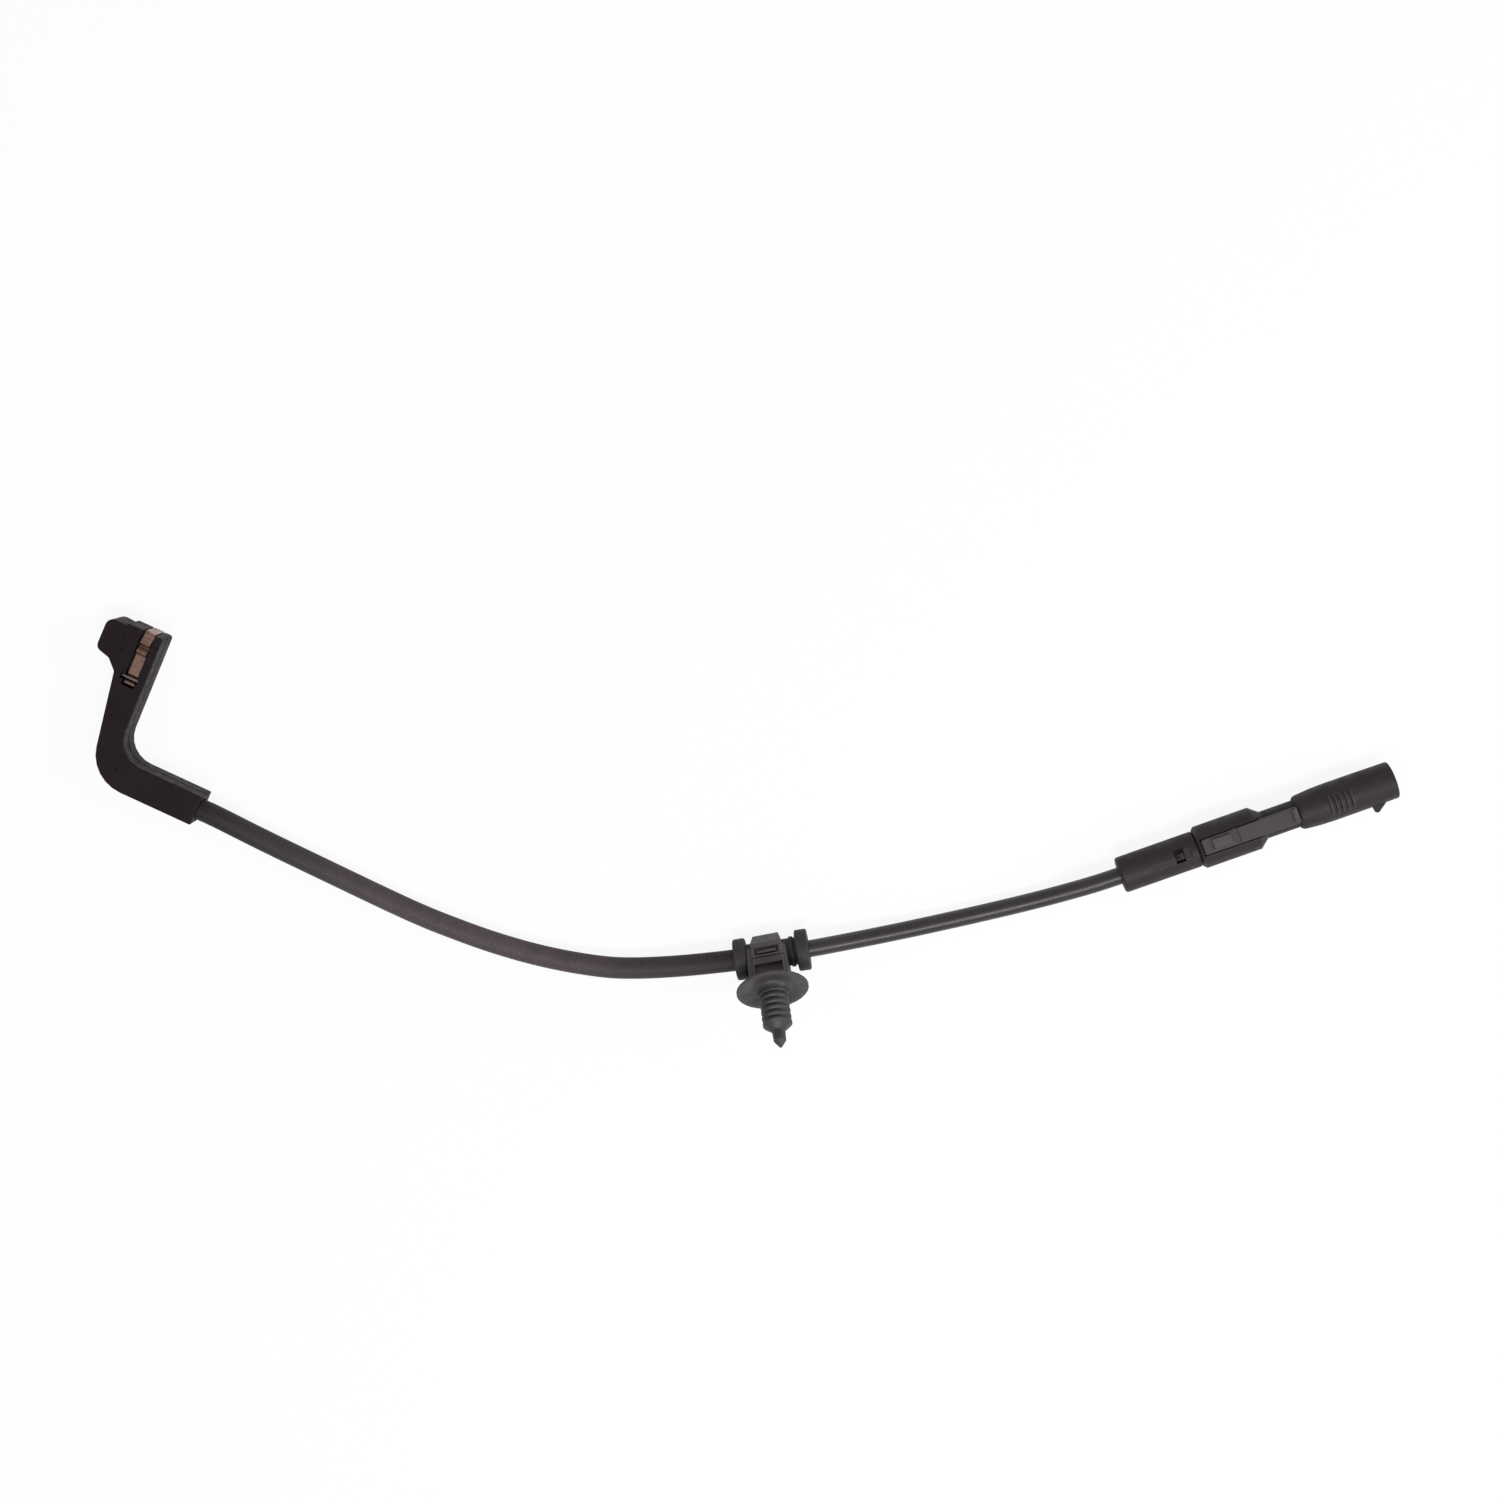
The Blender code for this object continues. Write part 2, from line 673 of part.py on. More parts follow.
def spring_centreline():
    """The leaf spring from the side: end leg, top run with its waves, and the hook under the pin."""
    run = HEAD_THICKNESS - SLOT_DEPTH + GAP + SPRING_THICKNESS / 2
    leg = ARM_END + SPRING_PROUD - SPRING_THICKNESS / 2
    wrap = PIN_DIAMETER / 2 + GAP + SPRING_THICKNESS / 2
    pin_height = HEAD_THICKNESS - PIN_DEPTH
    wave_start = leg - WAVE_START
    points = rounded_path([(leg, HEAD_THICKNESS - SPRING_LEG - SPRING_THICKNESS, 0.0), (leg, run, SPRING_CORNER),
                           (wave_start, run, 0.0)], 4)
    steps = 8 * WAVE_COUNT
    for k in range(1, steps + 1):
        lift = WAVE_HEIGHT * (1 - math.cos(2 * math.pi * WAVE_COUNT * k / steps)) / 2
        points.append(Vector((wave_start - WAVE_LENGTH * WAVE_COUNT * k / steps, run + lift)))
    near, far = PIN_PLACE + wrap, PIN_PLACE - wrap
    low = pin_height - wrap
    hook = [(points[-1].x, points[-1].y, 0.0), (near, run, 0.0005), (near, low, wrap * 0.98),
            (far, low, wrap * 0.98), (far, run + 0.0004, 0.0005), (far - HOOK_LIP + 2 * GAP, run + 0.0004, 0.0)]
    points.extend(rounded_path(hook, 4)[1:])
    return points


def ribbon(line, thickness):
    """The outline of a strip of even thickness along an open line."""
    left, right = [], []
    for i, point in enumerate(line):
        way = (line[min(i + 1, len(line) - 1)] - line[max(i - 1, 0)]).normalized()
        side = Vector((-way.y, way.x)) * (thickness / 2)
        left.append(point + side)
        right.append(point - side)
    return left + right[::-1]


def build_head(parent, plastic, bronze, steel, wire):
    housing = make_object("sensor_head_housing", prism(head_outline(), 0.0, HEAD_THICKNESS, upright, HEAD_EDGE),
                          plastic, parent)
    cut_head(housing)
    cut(housing, dimples(), "dimple_cuts")
    cut(housing, wall_groove(), "wall_groove_cut")

    left, right = spring_slot()
    spring = bmesh.new()
    strip = ribbon(spring_centreline(), SPRING_THICKNESS)
    add_prism(spring, strip, right - GAP - SPRING_WIDTH, right - GAP, along_x)
    make_object("retaining_spring", spring, bronze, parent)

    pin_end = right + PIN_OVERHANG - GAP
    pin_start, radius = pin_end - PIN_LENGTH, PIN_DIAMETER / 2
    pin = turned([(pin_start, 0.0), (pin_start, radius), (pin_end, radius), (pin_end, 0.0)], 12,
                 middle=(0.0, PIN_PLACE, HEAD_THICKNESS - PIN_DEPTH))
    make_object("spring_anchor_pin", pin, steel, parent)
    make_object("wear_loop_wire", tube(loop_line(), LOOP_DIAMETER / 2), wire, parent)

    for letter, sign in (("a", 1), ("b", -1)):
        middle = (0.0, LEAD_OFFSET + sign * SPLICE_SPREAD / 2, HEAD_AXIS)
        outer, hole = SPLICE_DIAMETER / 2, LOOP_DIAMETER / 2 + GAP
        near, far = -SPLICE_PLACE, -SPLICE_PLACE - SPLICE_LENGTH
        profile = [(near, outer), (near, hole), (near - SPLICE_HOLE_DEPTH, hole), (near - SPLICE_HOLE_DEPTH, 0.0),
                   (far + SPLICE_HOLE_DEPTH, 0.0), (far + SPLICE_HOLE_DEPTH, hole), (far, hole), (far, outer)]
        make_object(f"crimp_splice_{letter}", turned(profile, 12, middle=middle), steel, parent)
        start = Vector((-CABLE_IN_HEAD - GAP, LEAD_OFFSET + sign * CORE_SPREAD / 2, HEAD_AXIS))
        end = Vector((near - SPLICE_HOLE_DEPTH + GAP, middle[1], HEAD_AXIS))
        mouth = Vector((near, middle[1], HEAD_AXIS))
        line = [start, start.lerp(mouth, 0.5), mouth, end]
        make_object(f"head_core_wire_{letter}", tube(line, CORE_DIAMETER / 2), wire, parent)


# Clip and grommet


def build_grommet(parent, rubber):
    half = FLANGE_SPACING / 2
    reach = half + FLANGE_THICKNESS / 2
    near = half - FLANGE_THICKNESS / 2
    body, rim = GROMMET_BODY / 2, FLANGE_DIAMETER / 2
    ring = GROMMET_RING / 2
    ring_end = GROMMET_RING_START + GROMMET_RING_WIDTH
    edge = FLANGE_EDGE
    step = SLEEVE_IN_GROMMET - reach + GAP
    sleeve_hole = SLEEVE_DIAMETER / 2 + GAP
    cable_hole = CABLE_DIAMETER / 2 + GAP
    profile = [
        (-reach, sleeve_hole),
        *quarter(-reach + edge, rim - edge, edge, math.pi),
        *quarter(-near - edge, rim - edge, edge, math.pi / 2),
        (-near, body),
        (GROMMET_RING_START, body),
        (GROMMET_RING_START, ring - edge / 2),
        (GROMMET_RING_START + edge / 2, ring),
        (ring_end - edge / 2, ring),
        (ring_end, ring - edge / 2),
        (ring_end, body),
        (near, body),
        *quarter(near + edge, rim - edge, edge, math.pi),
        *quarter(reach - edge, rim - edge, edge, math.pi / 2),
        (reach, cable_hole),
        (step, cable_hole),
        (step, sleeve_hole),
    ]
    make_object("cable_grommet", turned(profile), rubber, parent)


def clip_outline(top):
    half, back, slope = CLIP_HALF_WIDTH, -CLIP_BACK, -CLIP_SLOPE_END
    corners = [(half, top, 0.0), (half, slope, 0.0008), (CLIP_BACK_HALF, back, 0.0010),
               (-CLIP_BACK_HALF, back, 0.0010), (-half, slope, 0.0008), (-half, top, 0.0)]
    return rounded(corners, 4)


def stud_profile():
    """The umbrella disc, the ribbed stud and its lead-in pin as one turned profile."""
    rim = DISC_DIAMETER / 2
    front = DISC_PLACE + DISC_THICKNESS / 2
    back = DISC_PLACE - DISC_THICKNESS / 2
    land = front + DISC_DISH
    core, rib, root = STUD_CORE / 2, RIB_DIAMETER / 2, STUD_ROOT / 2
    profile = [
        (back, 0.0),
        (back, CLIP_HALF_WIDTH),
        (back + DISC_DISH, rim - 0.0003),
        (back + DISC_DISH + 0.0003, rim),
        (land - 0.0002, rim),
        (land, rim - 0.0002),
        (land, rim - 0.0002 - DISC_LAND),
        (front, root + 0.0018),
        (front, root),
    ]
    for k in range(RIB_COUNT):
        peak = DISC_PLACE + RIB_FIRST + RIB_PITCH * k
        valley = root if k < 2 else core
        profile.extend([(peak - RIB_PITCH * 0.5, valley), (peak - RIB_PITCH * 0.18, rib),
                        (peak + RIB_PITCH * 0.14, rib)])
    pin = STUD_PIN / 2
    profile.extend([
        (DISC_PLACE + STUD_PIN_START, pin),
        (DISC_PLACE + STUD_PIN_END, pin - STUD_PIN_TAPER),
        (DISC_PLACE + STUD_TIP - 0.0002, 0.0004),
        (DISC_PLACE + STUD_TIP, 0.0),
    ])
    return profile


def back_corners():
    """The two wedges that are cut off the clip's ends, so that its back is shorter than its sides."""
    bm = bmesh.new()
    reach = CLIP_HALF_WIDTH + CUT_OVER
    for side in (1, -1):
        wide = CLIP_SHIFT + side * CLIP_LENGTH / 2
        narrow = CLIP_SHIFT + side * CLIP_TOP_LENGTH / 2
        beyond = wide + side * CUT_OVER
        outline = [(wide, -CLIP_SLOPE_END), (narrow, -CLIP_BACK), (narrow, -CLIP_BACK - CUT_OVER),
                   (beyond, -CLIP_BACK - CUT_OVER), (beyond, -CLIP_SLOPE_END)]
        add_prism(bm, outline, -reach, reach, lambda p, height: (p[0], height, p[1]))
    return bm


def build_clip(parent, plastic):
    inside_disc = DISC_PLACE - DISC_THICKNESS * 0.1
    half = CLIP_LENGTH / 2
    body = prism(clip_outline(inside_disc), CLIP_SHIFT - half, CLIP_SHIFT + half, along_x, CLIP_EDGE)
    clip = make_object("mounting_clip", body, plastic, parent)
    cut(clip, back_corners(), "clip_back_corners")
    side = CLIP_HALF_WIDTH - CHEEK_INSET
    cheek_end = inside_disc - 0.0001
    cheeks = [(side, CHEEK_START), (side, cheek_end), (-side, cheek_end), (-side, CHEEK_START)]
    cut(clip, prism(cheeks, -CHEEK_LENGTH / 2, CHEEK_LENGTH / 2, along_x, CLIP_EDGE), "clip_cheeks", "UNION")
    cut(clip, turned(stud_profile(), axis="Z"), "disc_and_stud", "UNION")

    bore = GROMMET_BODY / 2 + GAP
    reach = CHEEK_LENGTH / 2 + CUT_OVER
    cut(clip, rod(-reach, reach, bore, ROUND_STEPS), "grommet_bore")
    outside = CLIP_HALF_WIDTH + CUT_OVER
    floor = CLIP_HALF_WIDTH - WINDOW_IN_CLIP_DEPTH
    window = box((CLIP_SHIFT - WINDOW_IN_CLIP / 2, floor, 0.0),
                 (CLIP_SHIFT + WINDOW_IN_CLIP / 2, outside, WINDOW_IN_CLIP_HEIGHT))
    cut(clip, window, "latch_window")
    seam = box((CLIP_SHIFT - half - CUT_OVER, CLIP_HALF_WIDTH - SEAM_DEPTH, SEAM_PLACE),
               (CLIP_SHIFT + half + CUT_OVER, outside, SEAM_PLACE + SEAM_WIDTH))
    cut(clip, seam, "strap_seam")
    cut(clip, latch_tooth(floor), "latch_tooth", "UNION")
    pockets = bmesh.new()
    for side in (1, -1):
        inner, outer = side * (CLIP_HALF_WIDTH - POCKET_DEPTH), side * outside
        add_box(pockets, (CLIP_SHIFT - POCKET_WIDTH / 2, min(inner, outer), POCKET_LOW),
                (CLIP_SHIFT + POCKET_WIDTH / 2, max(inner, outer), POCKET_HIGH))
    cut(clip, pockets, "side_pockets")


def latch_tooth(floor):
    """The clip base's tooth, which the window in the strap's end hooks over."""
    low = floor - 0.0002
    top = CLIP_HALF_WIDTH - 0.0001
    end = TOOTH_START + TOOTH_HEIGHT
    profile = [(low, TOOTH_START - 0.0004), (top, TOOTH_START + 0.0003), (top, end), (low, end)]
    bm = bmesh.new()
    add_prism(bm, profile, CLIP_SHIFT - TOOTH_WIDTH / 2, CLIP_SHIFT + TOOTH_WIDTH / 2, along_x)
    return bm


# Connector


def build_cap(parent, plastic):
    outer = CAP_DIAMETER / 2
    cavity = outer - CAP_WALL
    hole = CABLE_DIAMETER / 2 + GAP
    profile = [
        (0.0, hole),
        *quarter(CAP_EDGE, outer - CAP_EDGE, CAP_EDGE, math.pi),
        (CAP_LENGTH - 0.0003, outer),
        (CAP_LENGTH, outer - 0.0003),
        (CAP_LENGTH, cavity),
        (CAP_REAR_WALL, cavity),
        (CAP_REAR_WALL, hole),
    ]
    cap = make_object("connector_rear_cap", turned(profile), plastic, parent)
    half = WINDOW_WIDTH / 2
    window = box((WINDOW_START, -half, cavity / 2), (WINDOW_START + WINDOW_LENGTH, half, outer + CUT_OVER))
    cut(cap, window, "cap_window")
    start = WINDOW_START + WINDOW_LENGTH
    saddle = box((start - 0.0002, -SADDLE_WIDTH / 2, outer - SADDLE_DEPTH),
                 (start + SADDLE_LENGTH, SADDLE_WIDTH / 2, outer + CUT_OVER))
    cut(cap, saddle, "cap_saddle")


def build_cable_seal(parent, rubber):
    outer = CAP_DIAMETER / 2 - CAP_WALL - GAP
    inner = CABLE_DIAMETER / 2 + GAP
    lobe = SEAL_LENGTH / SEAL_LOBES
    profile = [(SEAL_START, inner), (SEAL_START, outer - SEAL_LOBE_DEPTH)]
    for k in range(SEAL_LOBES):
        start = SEAL_START + lobe * k
        profile.extend([(start + lobe * 0.3, outer), (start + lobe * 0.7, outer),
                        (start + lobe, outer - SEAL_LOBE_DEPTH)])
    profile.append((SEAL_START + SEAL_LENGTH, inner))
    make_object("connector_cable_seal", turned(profile, 24), rubber, parent)


def build_body(parent, plastic):
    """The collar and neck, with a spigot for the cap behind and one for the plug shell in front."""
    bore = BODY_BORE / 2
    rear = CAP_DIAMETER / 2 - CAP_WALL - GAP
    neck, collar = NECK_DIAMETER / 2, COLLAR_DIAMETER / 2
    collar_start = CAP_LENGTH + GAP
    ring_floor = shell_cavity() - GAP - RING_SECTION - GAP
    half = RING_SECTION / 2 + GAP
    profile = [
        (BODY_START, bore),
        (BODY_START, rear - 0.0004),
        (BODY_START + 0.0006, rear),
        (collar_start, rear),
        (collar_start, collar - COLLAR_EDGE),
        (collar_start + COLLAR_EDGE, collar),
        (COLLAR_END, collar),
        (NECK_START, neck),
        (RING_PLACE - half, neck),
        (RING_PLACE - half, ring_floor),
        (RING_PLACE + half, ring_floor),
        (RING_PLACE + half, neck),
        (SPIGOT_END, neck),
        (SPIGOT_END, bore),
    ]
    body = make_object("connector_body", turned(profile, 36), plastic, parent)
    rear_half = BAR_REAR_WIDTH / 2 + GAP
    front_half = bar_half_width(NECK_START) + GAP
    groove_end = NECK_START + CUT_OVER
    outline = [(bar_start() - GAP, -rear_half), (groove_end, -front_half), (groove_end, front_half),
               (bar_start() - GAP, rear_half)]
    cut(body, prism(outline, neck, collar + CUT_OVER, upright), "lock_groove")
    hook_end = WINDOW_START + WINDOW_LENGTH - GAP
    hook = [(WINDOW_START + GAP, rear - 0.0003), (hook_end, rear - 0.0003), (hook_end, rear + HOOK_HEIGHT),
            (hook_end - 0.0008, rear + HOOK_HEIGHT), (WINDOW_START + GAP, rear + 0.0001)]
    bm = bmesh.new()
    add_prism(bm, hook, -HOOK_WIDTH / 2, HOOK_WIDTH / 2, lambda p, height: (p[0], height, p[1]))
    cut(body, bm, "snap_hook", "UNION")


def bar_start():
    return CAP_LENGTH + BAR_START


def bar_end():
    return SHELL_START - GAP


def bar_half_width(place):
    share = (place - bar_start()) / (bar_end() - bar_start())
    return (BAR_REAR_WIDTH + (BAR_FRONT_WIDTH - BAR_REAR_WIDTH) * share) / 2


def bar_outline(start, end, inset, corner):
    a, b = bar_half_width(start) - inset, bar_half_width(end) - inset
    return rounded([(start, -a, corner), (end, -b, corner), (end, b, corner), (start, a, corner)], 3)


def build_lock_bar(parent, plastic):
    seat = NECK_DIAMETER / 2 + GAP
    outline = bar_outline(bar_start(), bar_end(), 0.0, 0.0005)
    bar = make_object("connector_lock_bar", prism(outline, seat, BAR_TOP, upright, 0.0003), plastic, parent)
    half = BAR_PAD_WIDTH / 2
    start = bar_start() + BAR_PAD_START
    end = start + BAR_PAD_LENGTH
    pad = rounded([(start, -half, 0.0004), (end, -half, 0.0004), (end, half, 0.0004),
                   (start, half, 0.0004)], 3)
    cut(bar, prism(pad, BAR_TOP - 0.0006, BAR_TOP + BAR_PAD_HEIGHT, upright, 0.00015), "lock_pad", "UNION")
    groove = box((end + 0.0003, -BAR_FRONT_WIDTH, BAR_TOP - BAR_GROOVE_DEPTH),
                 (end + 0.0003 + BAR_GROOVE_LENGTH, BAR_FRONT_WIDTH, BAR_TOP + CUT_OVER))
    cut(bar, groove, "lock_groove_cut")
    lip = bar_outline(bar_end() - BAR_LIP_LENGTH, bar_end() - 0.0002, 0.0003, 0.0003)
    cut(bar, prism(lip, BAR_TOP - 0.0006, BAR_TOP + BAR_LIP_HEIGHT, upright, 0.00015), "lock_lip", "UNION")


def shell_cavity():
    return SHELL_DIAMETER / 2 - SHELL_WALL


def build_shell(parent, plastic):
    outer, rear, mouth = SHELL_DIAMETER / 2, SHELL_REAR_DIAMETER / 2, SHELL_MOUTH_DIAMETER / 2
    cavity = shell_cavity()
    shoulder = SHELL_START + SHELL_SHOULDER
    knee = rear + SHELL_SHOULDER_RISE
    half_way = (shoulder + SHELL_FULL) / 2
    profile = [
        (SHELL_START, NECK_DIAMETER / 2 + GAP),
        (SHELL_START, rear - 0.0002),
        (SHELL_START + SHELL_SHOULDER * 0.35, rear + SHELL_SHOULDER_RISE * 0.6),
        (shoulder, knee),
        (half_way, knee + (outer - knee) * 0.75),
        (SHELL_FULL, outer),
        ((SHELL_FULL + PLUG_LENGTH) / 2, outer - (outer - mouth) * 0.2),
        *quarter(PLUG_LENGTH - MOUTH_EDGE, mouth - MOUTH_EDGE, MOUTH_EDGE, math.pi / 2),
        (PLUG_LENGTH, cavity + 0.0002),
        (PLUG_LENGTH - 0.0004, cavity),
        (STOP_PLACE + STOP_WIDTH, cavity),
        (STOP_PLACE + STOP_WIDTH, cavity - STOP_HEIGHT),
        (STOP_PLACE, cavity - STOP_HEIGHT),
        (STOP_PLACE, cavity),
        (SHELL_START + 0.0020, cavity),
        (SHELL_START + 0.0020, NECK_DIAMETER / 2 + GAP),
    ]
    shell = make_object("plug_shell", turned(profile, 36), plastic, parent)
    cut(shell, grip_ribs(outer), "grip_ribs", "UNION")
    tip = -outer - NUB_HEIGHT
    root = -outer + SHELL_WALL / 2
    start = PLUG_LENGTH - NUB_START
    nub = [(start, root), (start + 0.0004, tip + 0.0004), (start + 0.0008, tip),
           (start + 0.0014, tip + 0.0001), (start + NUB_LENGTH, root)]
    half = NUB_WIDTH / 2
    cut(shell, prism(nub, -half, half, upright, 0.00025), "latch_nub", "UNION")


def grip_ribs(outer):
    """Short curved ribs on the upper side of the plug shell."""
    bm = bmesh.new()
    steps = 8
    for k in range(GRIP_RIB_COUNT):
        middle = GRIP_RIB_FIRST + GRIP_RIB_PITCH * k
        half = GRIP_RIB_WIDTH / 2
        low = outer - SHELL_WALL / 2
        rows = []
        for i in range(steps + 1):
            share = 2 * i / steps - 1
            angle = GRIP_RIB_TURN + GRIP_RIB_SWEEP * share
            top = outer + GRIP_RIB_HEIGHT - (GRIP_RIB_HEIGHT + SHELL_WALL / 4) * share ** 8
            section = [(middle - half, low), (middle - half * 0.5, top), (middle + half * 0.5, top),
                       (middle + half, low)]
            rows.append([bm.verts.new((s, r * math.sin(angle), r * math.cos(angle))) for s, r in section])
        for near, far in zip(rows, rows[1:]):
            for i in range(len(section)):
                j = (i + 1) % len(section)
                bm.faces.new((near[i], near[j], far[j], far[i]))
        bm.faces.new(rows[0])
        bm.faces.new(rows[-1])
    return bm


def build_seal_ring(parent, rubber):
    outer = shell_cavity() - GAP
    inner, half = outer - RING_SECTION, RING_SECTION / 2
    edge = RING_SECTION * 0.3
    profile = [
        (RING_PLACE - half, inner + edge), (RING_PLACE - half, outer - edge), (RING_PLACE - half + edge, outer),
        (RING_PLACE + half - edge, outer), (RING_PLACE + half, outer - edge), (RING_PLACE + half, inner + edge),
        (RING_PLACE + half - edge, inner), (RING_PLACE - half + edge, inner),
    ]
    make_object("shell_seal_ring", turned(profile, 24), rubber, parent)


def build_contacts(parent, plastic, brass, wire):
    start, end = SPIGOT_END + GAP, STOP_PLACE - GAP
    radius = shell_cavity() - GAP
    carrier = make_object("contact_carrier", rod(start, end, radius, 24), plastic, parent)
    for letter, sign in (("a", 1), ("b", -1)):
        middle = (0.0, sign * CORE_SPREAD / 2, 0.0)
        pin, barrel = CONTACT_DIAMETER / 2, CONTACT_BARREL / 2
        hole = turned([(start - CUT_OVER, 0.0), (start - CUT_OVER, pin + GAP), (end + CUT_OVER, pin + GAP),
                       (end + CUT_OVER, 0.0)], 12, middle=middle)
        cut(carrier, hole, f"contact_hole_{letter}")
        wire_hole = CORE_DIAMETER / 2 + GAP * 0.8
        hole_end = CONTACT_BARREL_START + CONTACT_HOLE_DEPTH
        profile = [
            (CONTACT_BARREL_START, wire_hole), (CONTACT_BARREL_START, barrel), (CONTACT_BARREL_END, barrel),
            (CONTACT_BARREL_END + 0.0005, pin), (CONTACT_END - 0.0008, pin), (CONTACT_END - 0.0002, pin * 0.6),
            (CONTACT_END, 0.0), (hole_end, 0.0), (hole_end, wire_hole),
        ]
        make_object(f"contact_pin_{letter}", turned(profile, 12, middle=middle), brass, parent)
        line = [Vector((CABLE_IN_PLUG + GAP, middle[1], 0.0)), Vector((hole_end - GAP, middle[1], 0.0))]
        make_object(f"core_wire_{letter}", tube(line, CORE_DIAMETER / 2), wire, parent)


def main():
    clear_scene()
    head_black = make_material("head_black", (0.020, 0.014, 0.016), 0.45)
    clip_grey = make_material("clip_grey", (0.055, 0.052, 0.060), 0.5)
    plug_black = make_material("plug_black", (0.036, 0.033, 0.035), 0.5)
    lock_grey = make_material("lock_grey", (0.075, 0.068, 0.080), 0.5)
    rubber = make_material("rubber", (0.022, 0.021, 0.021), 0.7)
    braid = make_material("braid", (0.030, 0.028, 0.030), 0.7)
    jacket = make_material("jacket", (0.025, 0.020, 0.022), 0.3)
    bronze = make_material("bronze", (0.42, 0.27, 0.20), 0.35, 1.0)
    steel = make_material("steel", (0.60, 0.56, 0.52), 0.3, 1.0)
    brass = make_material("brass", (0.70, 0.60, 0.35), 0.3, 1.0)
    wire = make_material("wire", (0.12, 0.04, 0.03), 0.5)

    head = make_empty("head_place", (*HEAD_EXIT, 0.0), (0.0, 0.0, HEAD_TURN))
    grommet = make_empty("grommet_place", in_grommet(0.0), (0.0, 0.0, GROMMET_TURN))
    clip = make_empty("clip_place", in_grommet(CLIP_SLIDE), (STUD_LEAN, 0.0, GROMMET_TURN + CLIP_SWING))
    plug = make_empty("plug_place", (*PLUG_REAR, PLUG_AXIS), (PLUG_ROLL, 0.0, 0.0))

    build_head(head, head_black, bronze, steel, wire)
    build_lead(jacket, braid)
    build_grommet(grommet, rubber)
    build_clip(clip, clip_grey)
    build_cap(plug, plug_black)
    build_cable_seal(plug, rubber)
    build_body(plug, plug_black)
    build_lock_bar(plug, lock_grey)
    build_shell(plug, plug_black)
    build_seal_ring(plug, rubber)
    build_contacts(plug, lock_grey, brass, wire)


main()
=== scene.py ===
import json
import math

import bmesh
import bpy
from mathutils import Matrix, Vector


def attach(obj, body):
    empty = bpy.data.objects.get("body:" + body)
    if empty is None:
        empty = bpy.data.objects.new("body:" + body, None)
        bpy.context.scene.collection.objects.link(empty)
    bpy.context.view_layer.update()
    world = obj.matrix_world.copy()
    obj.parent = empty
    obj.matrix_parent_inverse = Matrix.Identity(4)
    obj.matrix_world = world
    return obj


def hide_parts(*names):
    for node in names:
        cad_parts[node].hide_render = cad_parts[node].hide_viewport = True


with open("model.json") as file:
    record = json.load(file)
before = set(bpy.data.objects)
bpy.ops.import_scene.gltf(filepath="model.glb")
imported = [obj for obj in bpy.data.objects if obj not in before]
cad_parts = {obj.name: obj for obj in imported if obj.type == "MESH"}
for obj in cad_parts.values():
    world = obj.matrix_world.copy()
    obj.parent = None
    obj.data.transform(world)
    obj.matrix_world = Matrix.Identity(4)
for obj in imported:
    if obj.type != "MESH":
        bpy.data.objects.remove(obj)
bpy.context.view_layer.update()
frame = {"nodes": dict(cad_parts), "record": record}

NODES = frame["nodes"]

# Camera: the photograph's viewing angle, fitted to the places of the parts in it
CAMERA_PLACE = Vector((0.05781, 0.07416, 0.6321))
CAMERA_TARGET = Vector((0.00486, -0.01069, 0.0))
CAMERA_UP = Vector((0.3404, 0.9277, -0.1530))
CAMERA_LENS = 49.15
CAMERA_SENSOR = 36.0
CAMERA_NEAR = 0.01
CAMERA_FAR = 20.0


def add_object(name, data):
    thing = bpy.data.objects.new(name, data)
    bpy.context.scene.collection.objects.link(thing)
    return thing


def make_camera():
    data = bpy.data.cameras.new("camera")
    data.lens = CAMERA_LENS
    data.sensor_width = CAMERA_SENSOR
    data.clip_start = CAMERA_NEAR
    data.clip_end = CAMERA_FAR
    camera = add_object("camera", data)
    back = (CAMERA_PLACE - CAMERA_TARGET).normalized()
    right = CAMERA_UP.cross(back).normalized()
    turn = Matrix((right, back.cross(right), back)).transposed()
    camera.matrix_world = Matrix.Translation(CAMERA_PLACE) @ turn.to_4x4()
    bpy.context.scene.camera = camera


# Route of the lead: the same points as in the part's source
HEAD_EXIT = Vector((-0.1631, 0.0321))
HEAD_TURN = math.radians(-45.5)
HEAD_AXIS = 0.0053
LEAD_OFFSET = -0.00035
GROMMET_PLACE = Vector((-0.0108, -0.0731))
GROMMET_TURN = math.radians(-11.0)
GROMMET_AXIS = 0.0065
GROMMET_REACH = 0.011725
PLUG_REAR = Vector((0.0995, -0.0863))
PLUG_AXIS = 0.00675
CABLE_DIAMETER = 0.0054
CABLE_IN_HEAD = 0.012
CABLE_IN_PLUG = 0.010
CABLE_STEP = 0.0021  # between the points of the cable's curve
SLEEVE_DIAMETER = 0.0069
SLEEVE_IN_HEAD = 0.0055
SLEEVE_IN_GROMMET = 0.0131
SPLINE_STEPS = 24  # between two stops of the route


def in_head(along):
    place = HEAD_EXIT + Matrix.Rotation(HEAD_TURN, 2) @ Vector((along, LEAD_OFFSET))
    return Vector((place.x, place.y, HEAD_AXIS))


def in_grommet(along):
    place = GROMMET_PLACE + Matrix.Rotation(GROMMET_TURN, 2) @ Vector((along, 0.0))
    return Vector((place.x, place.y, GROMMET_AXIS))


def in_plug(along):
    return Vector((PLUG_REAR.x + along, PLUG_REAR.y, PLUG_AXIS))


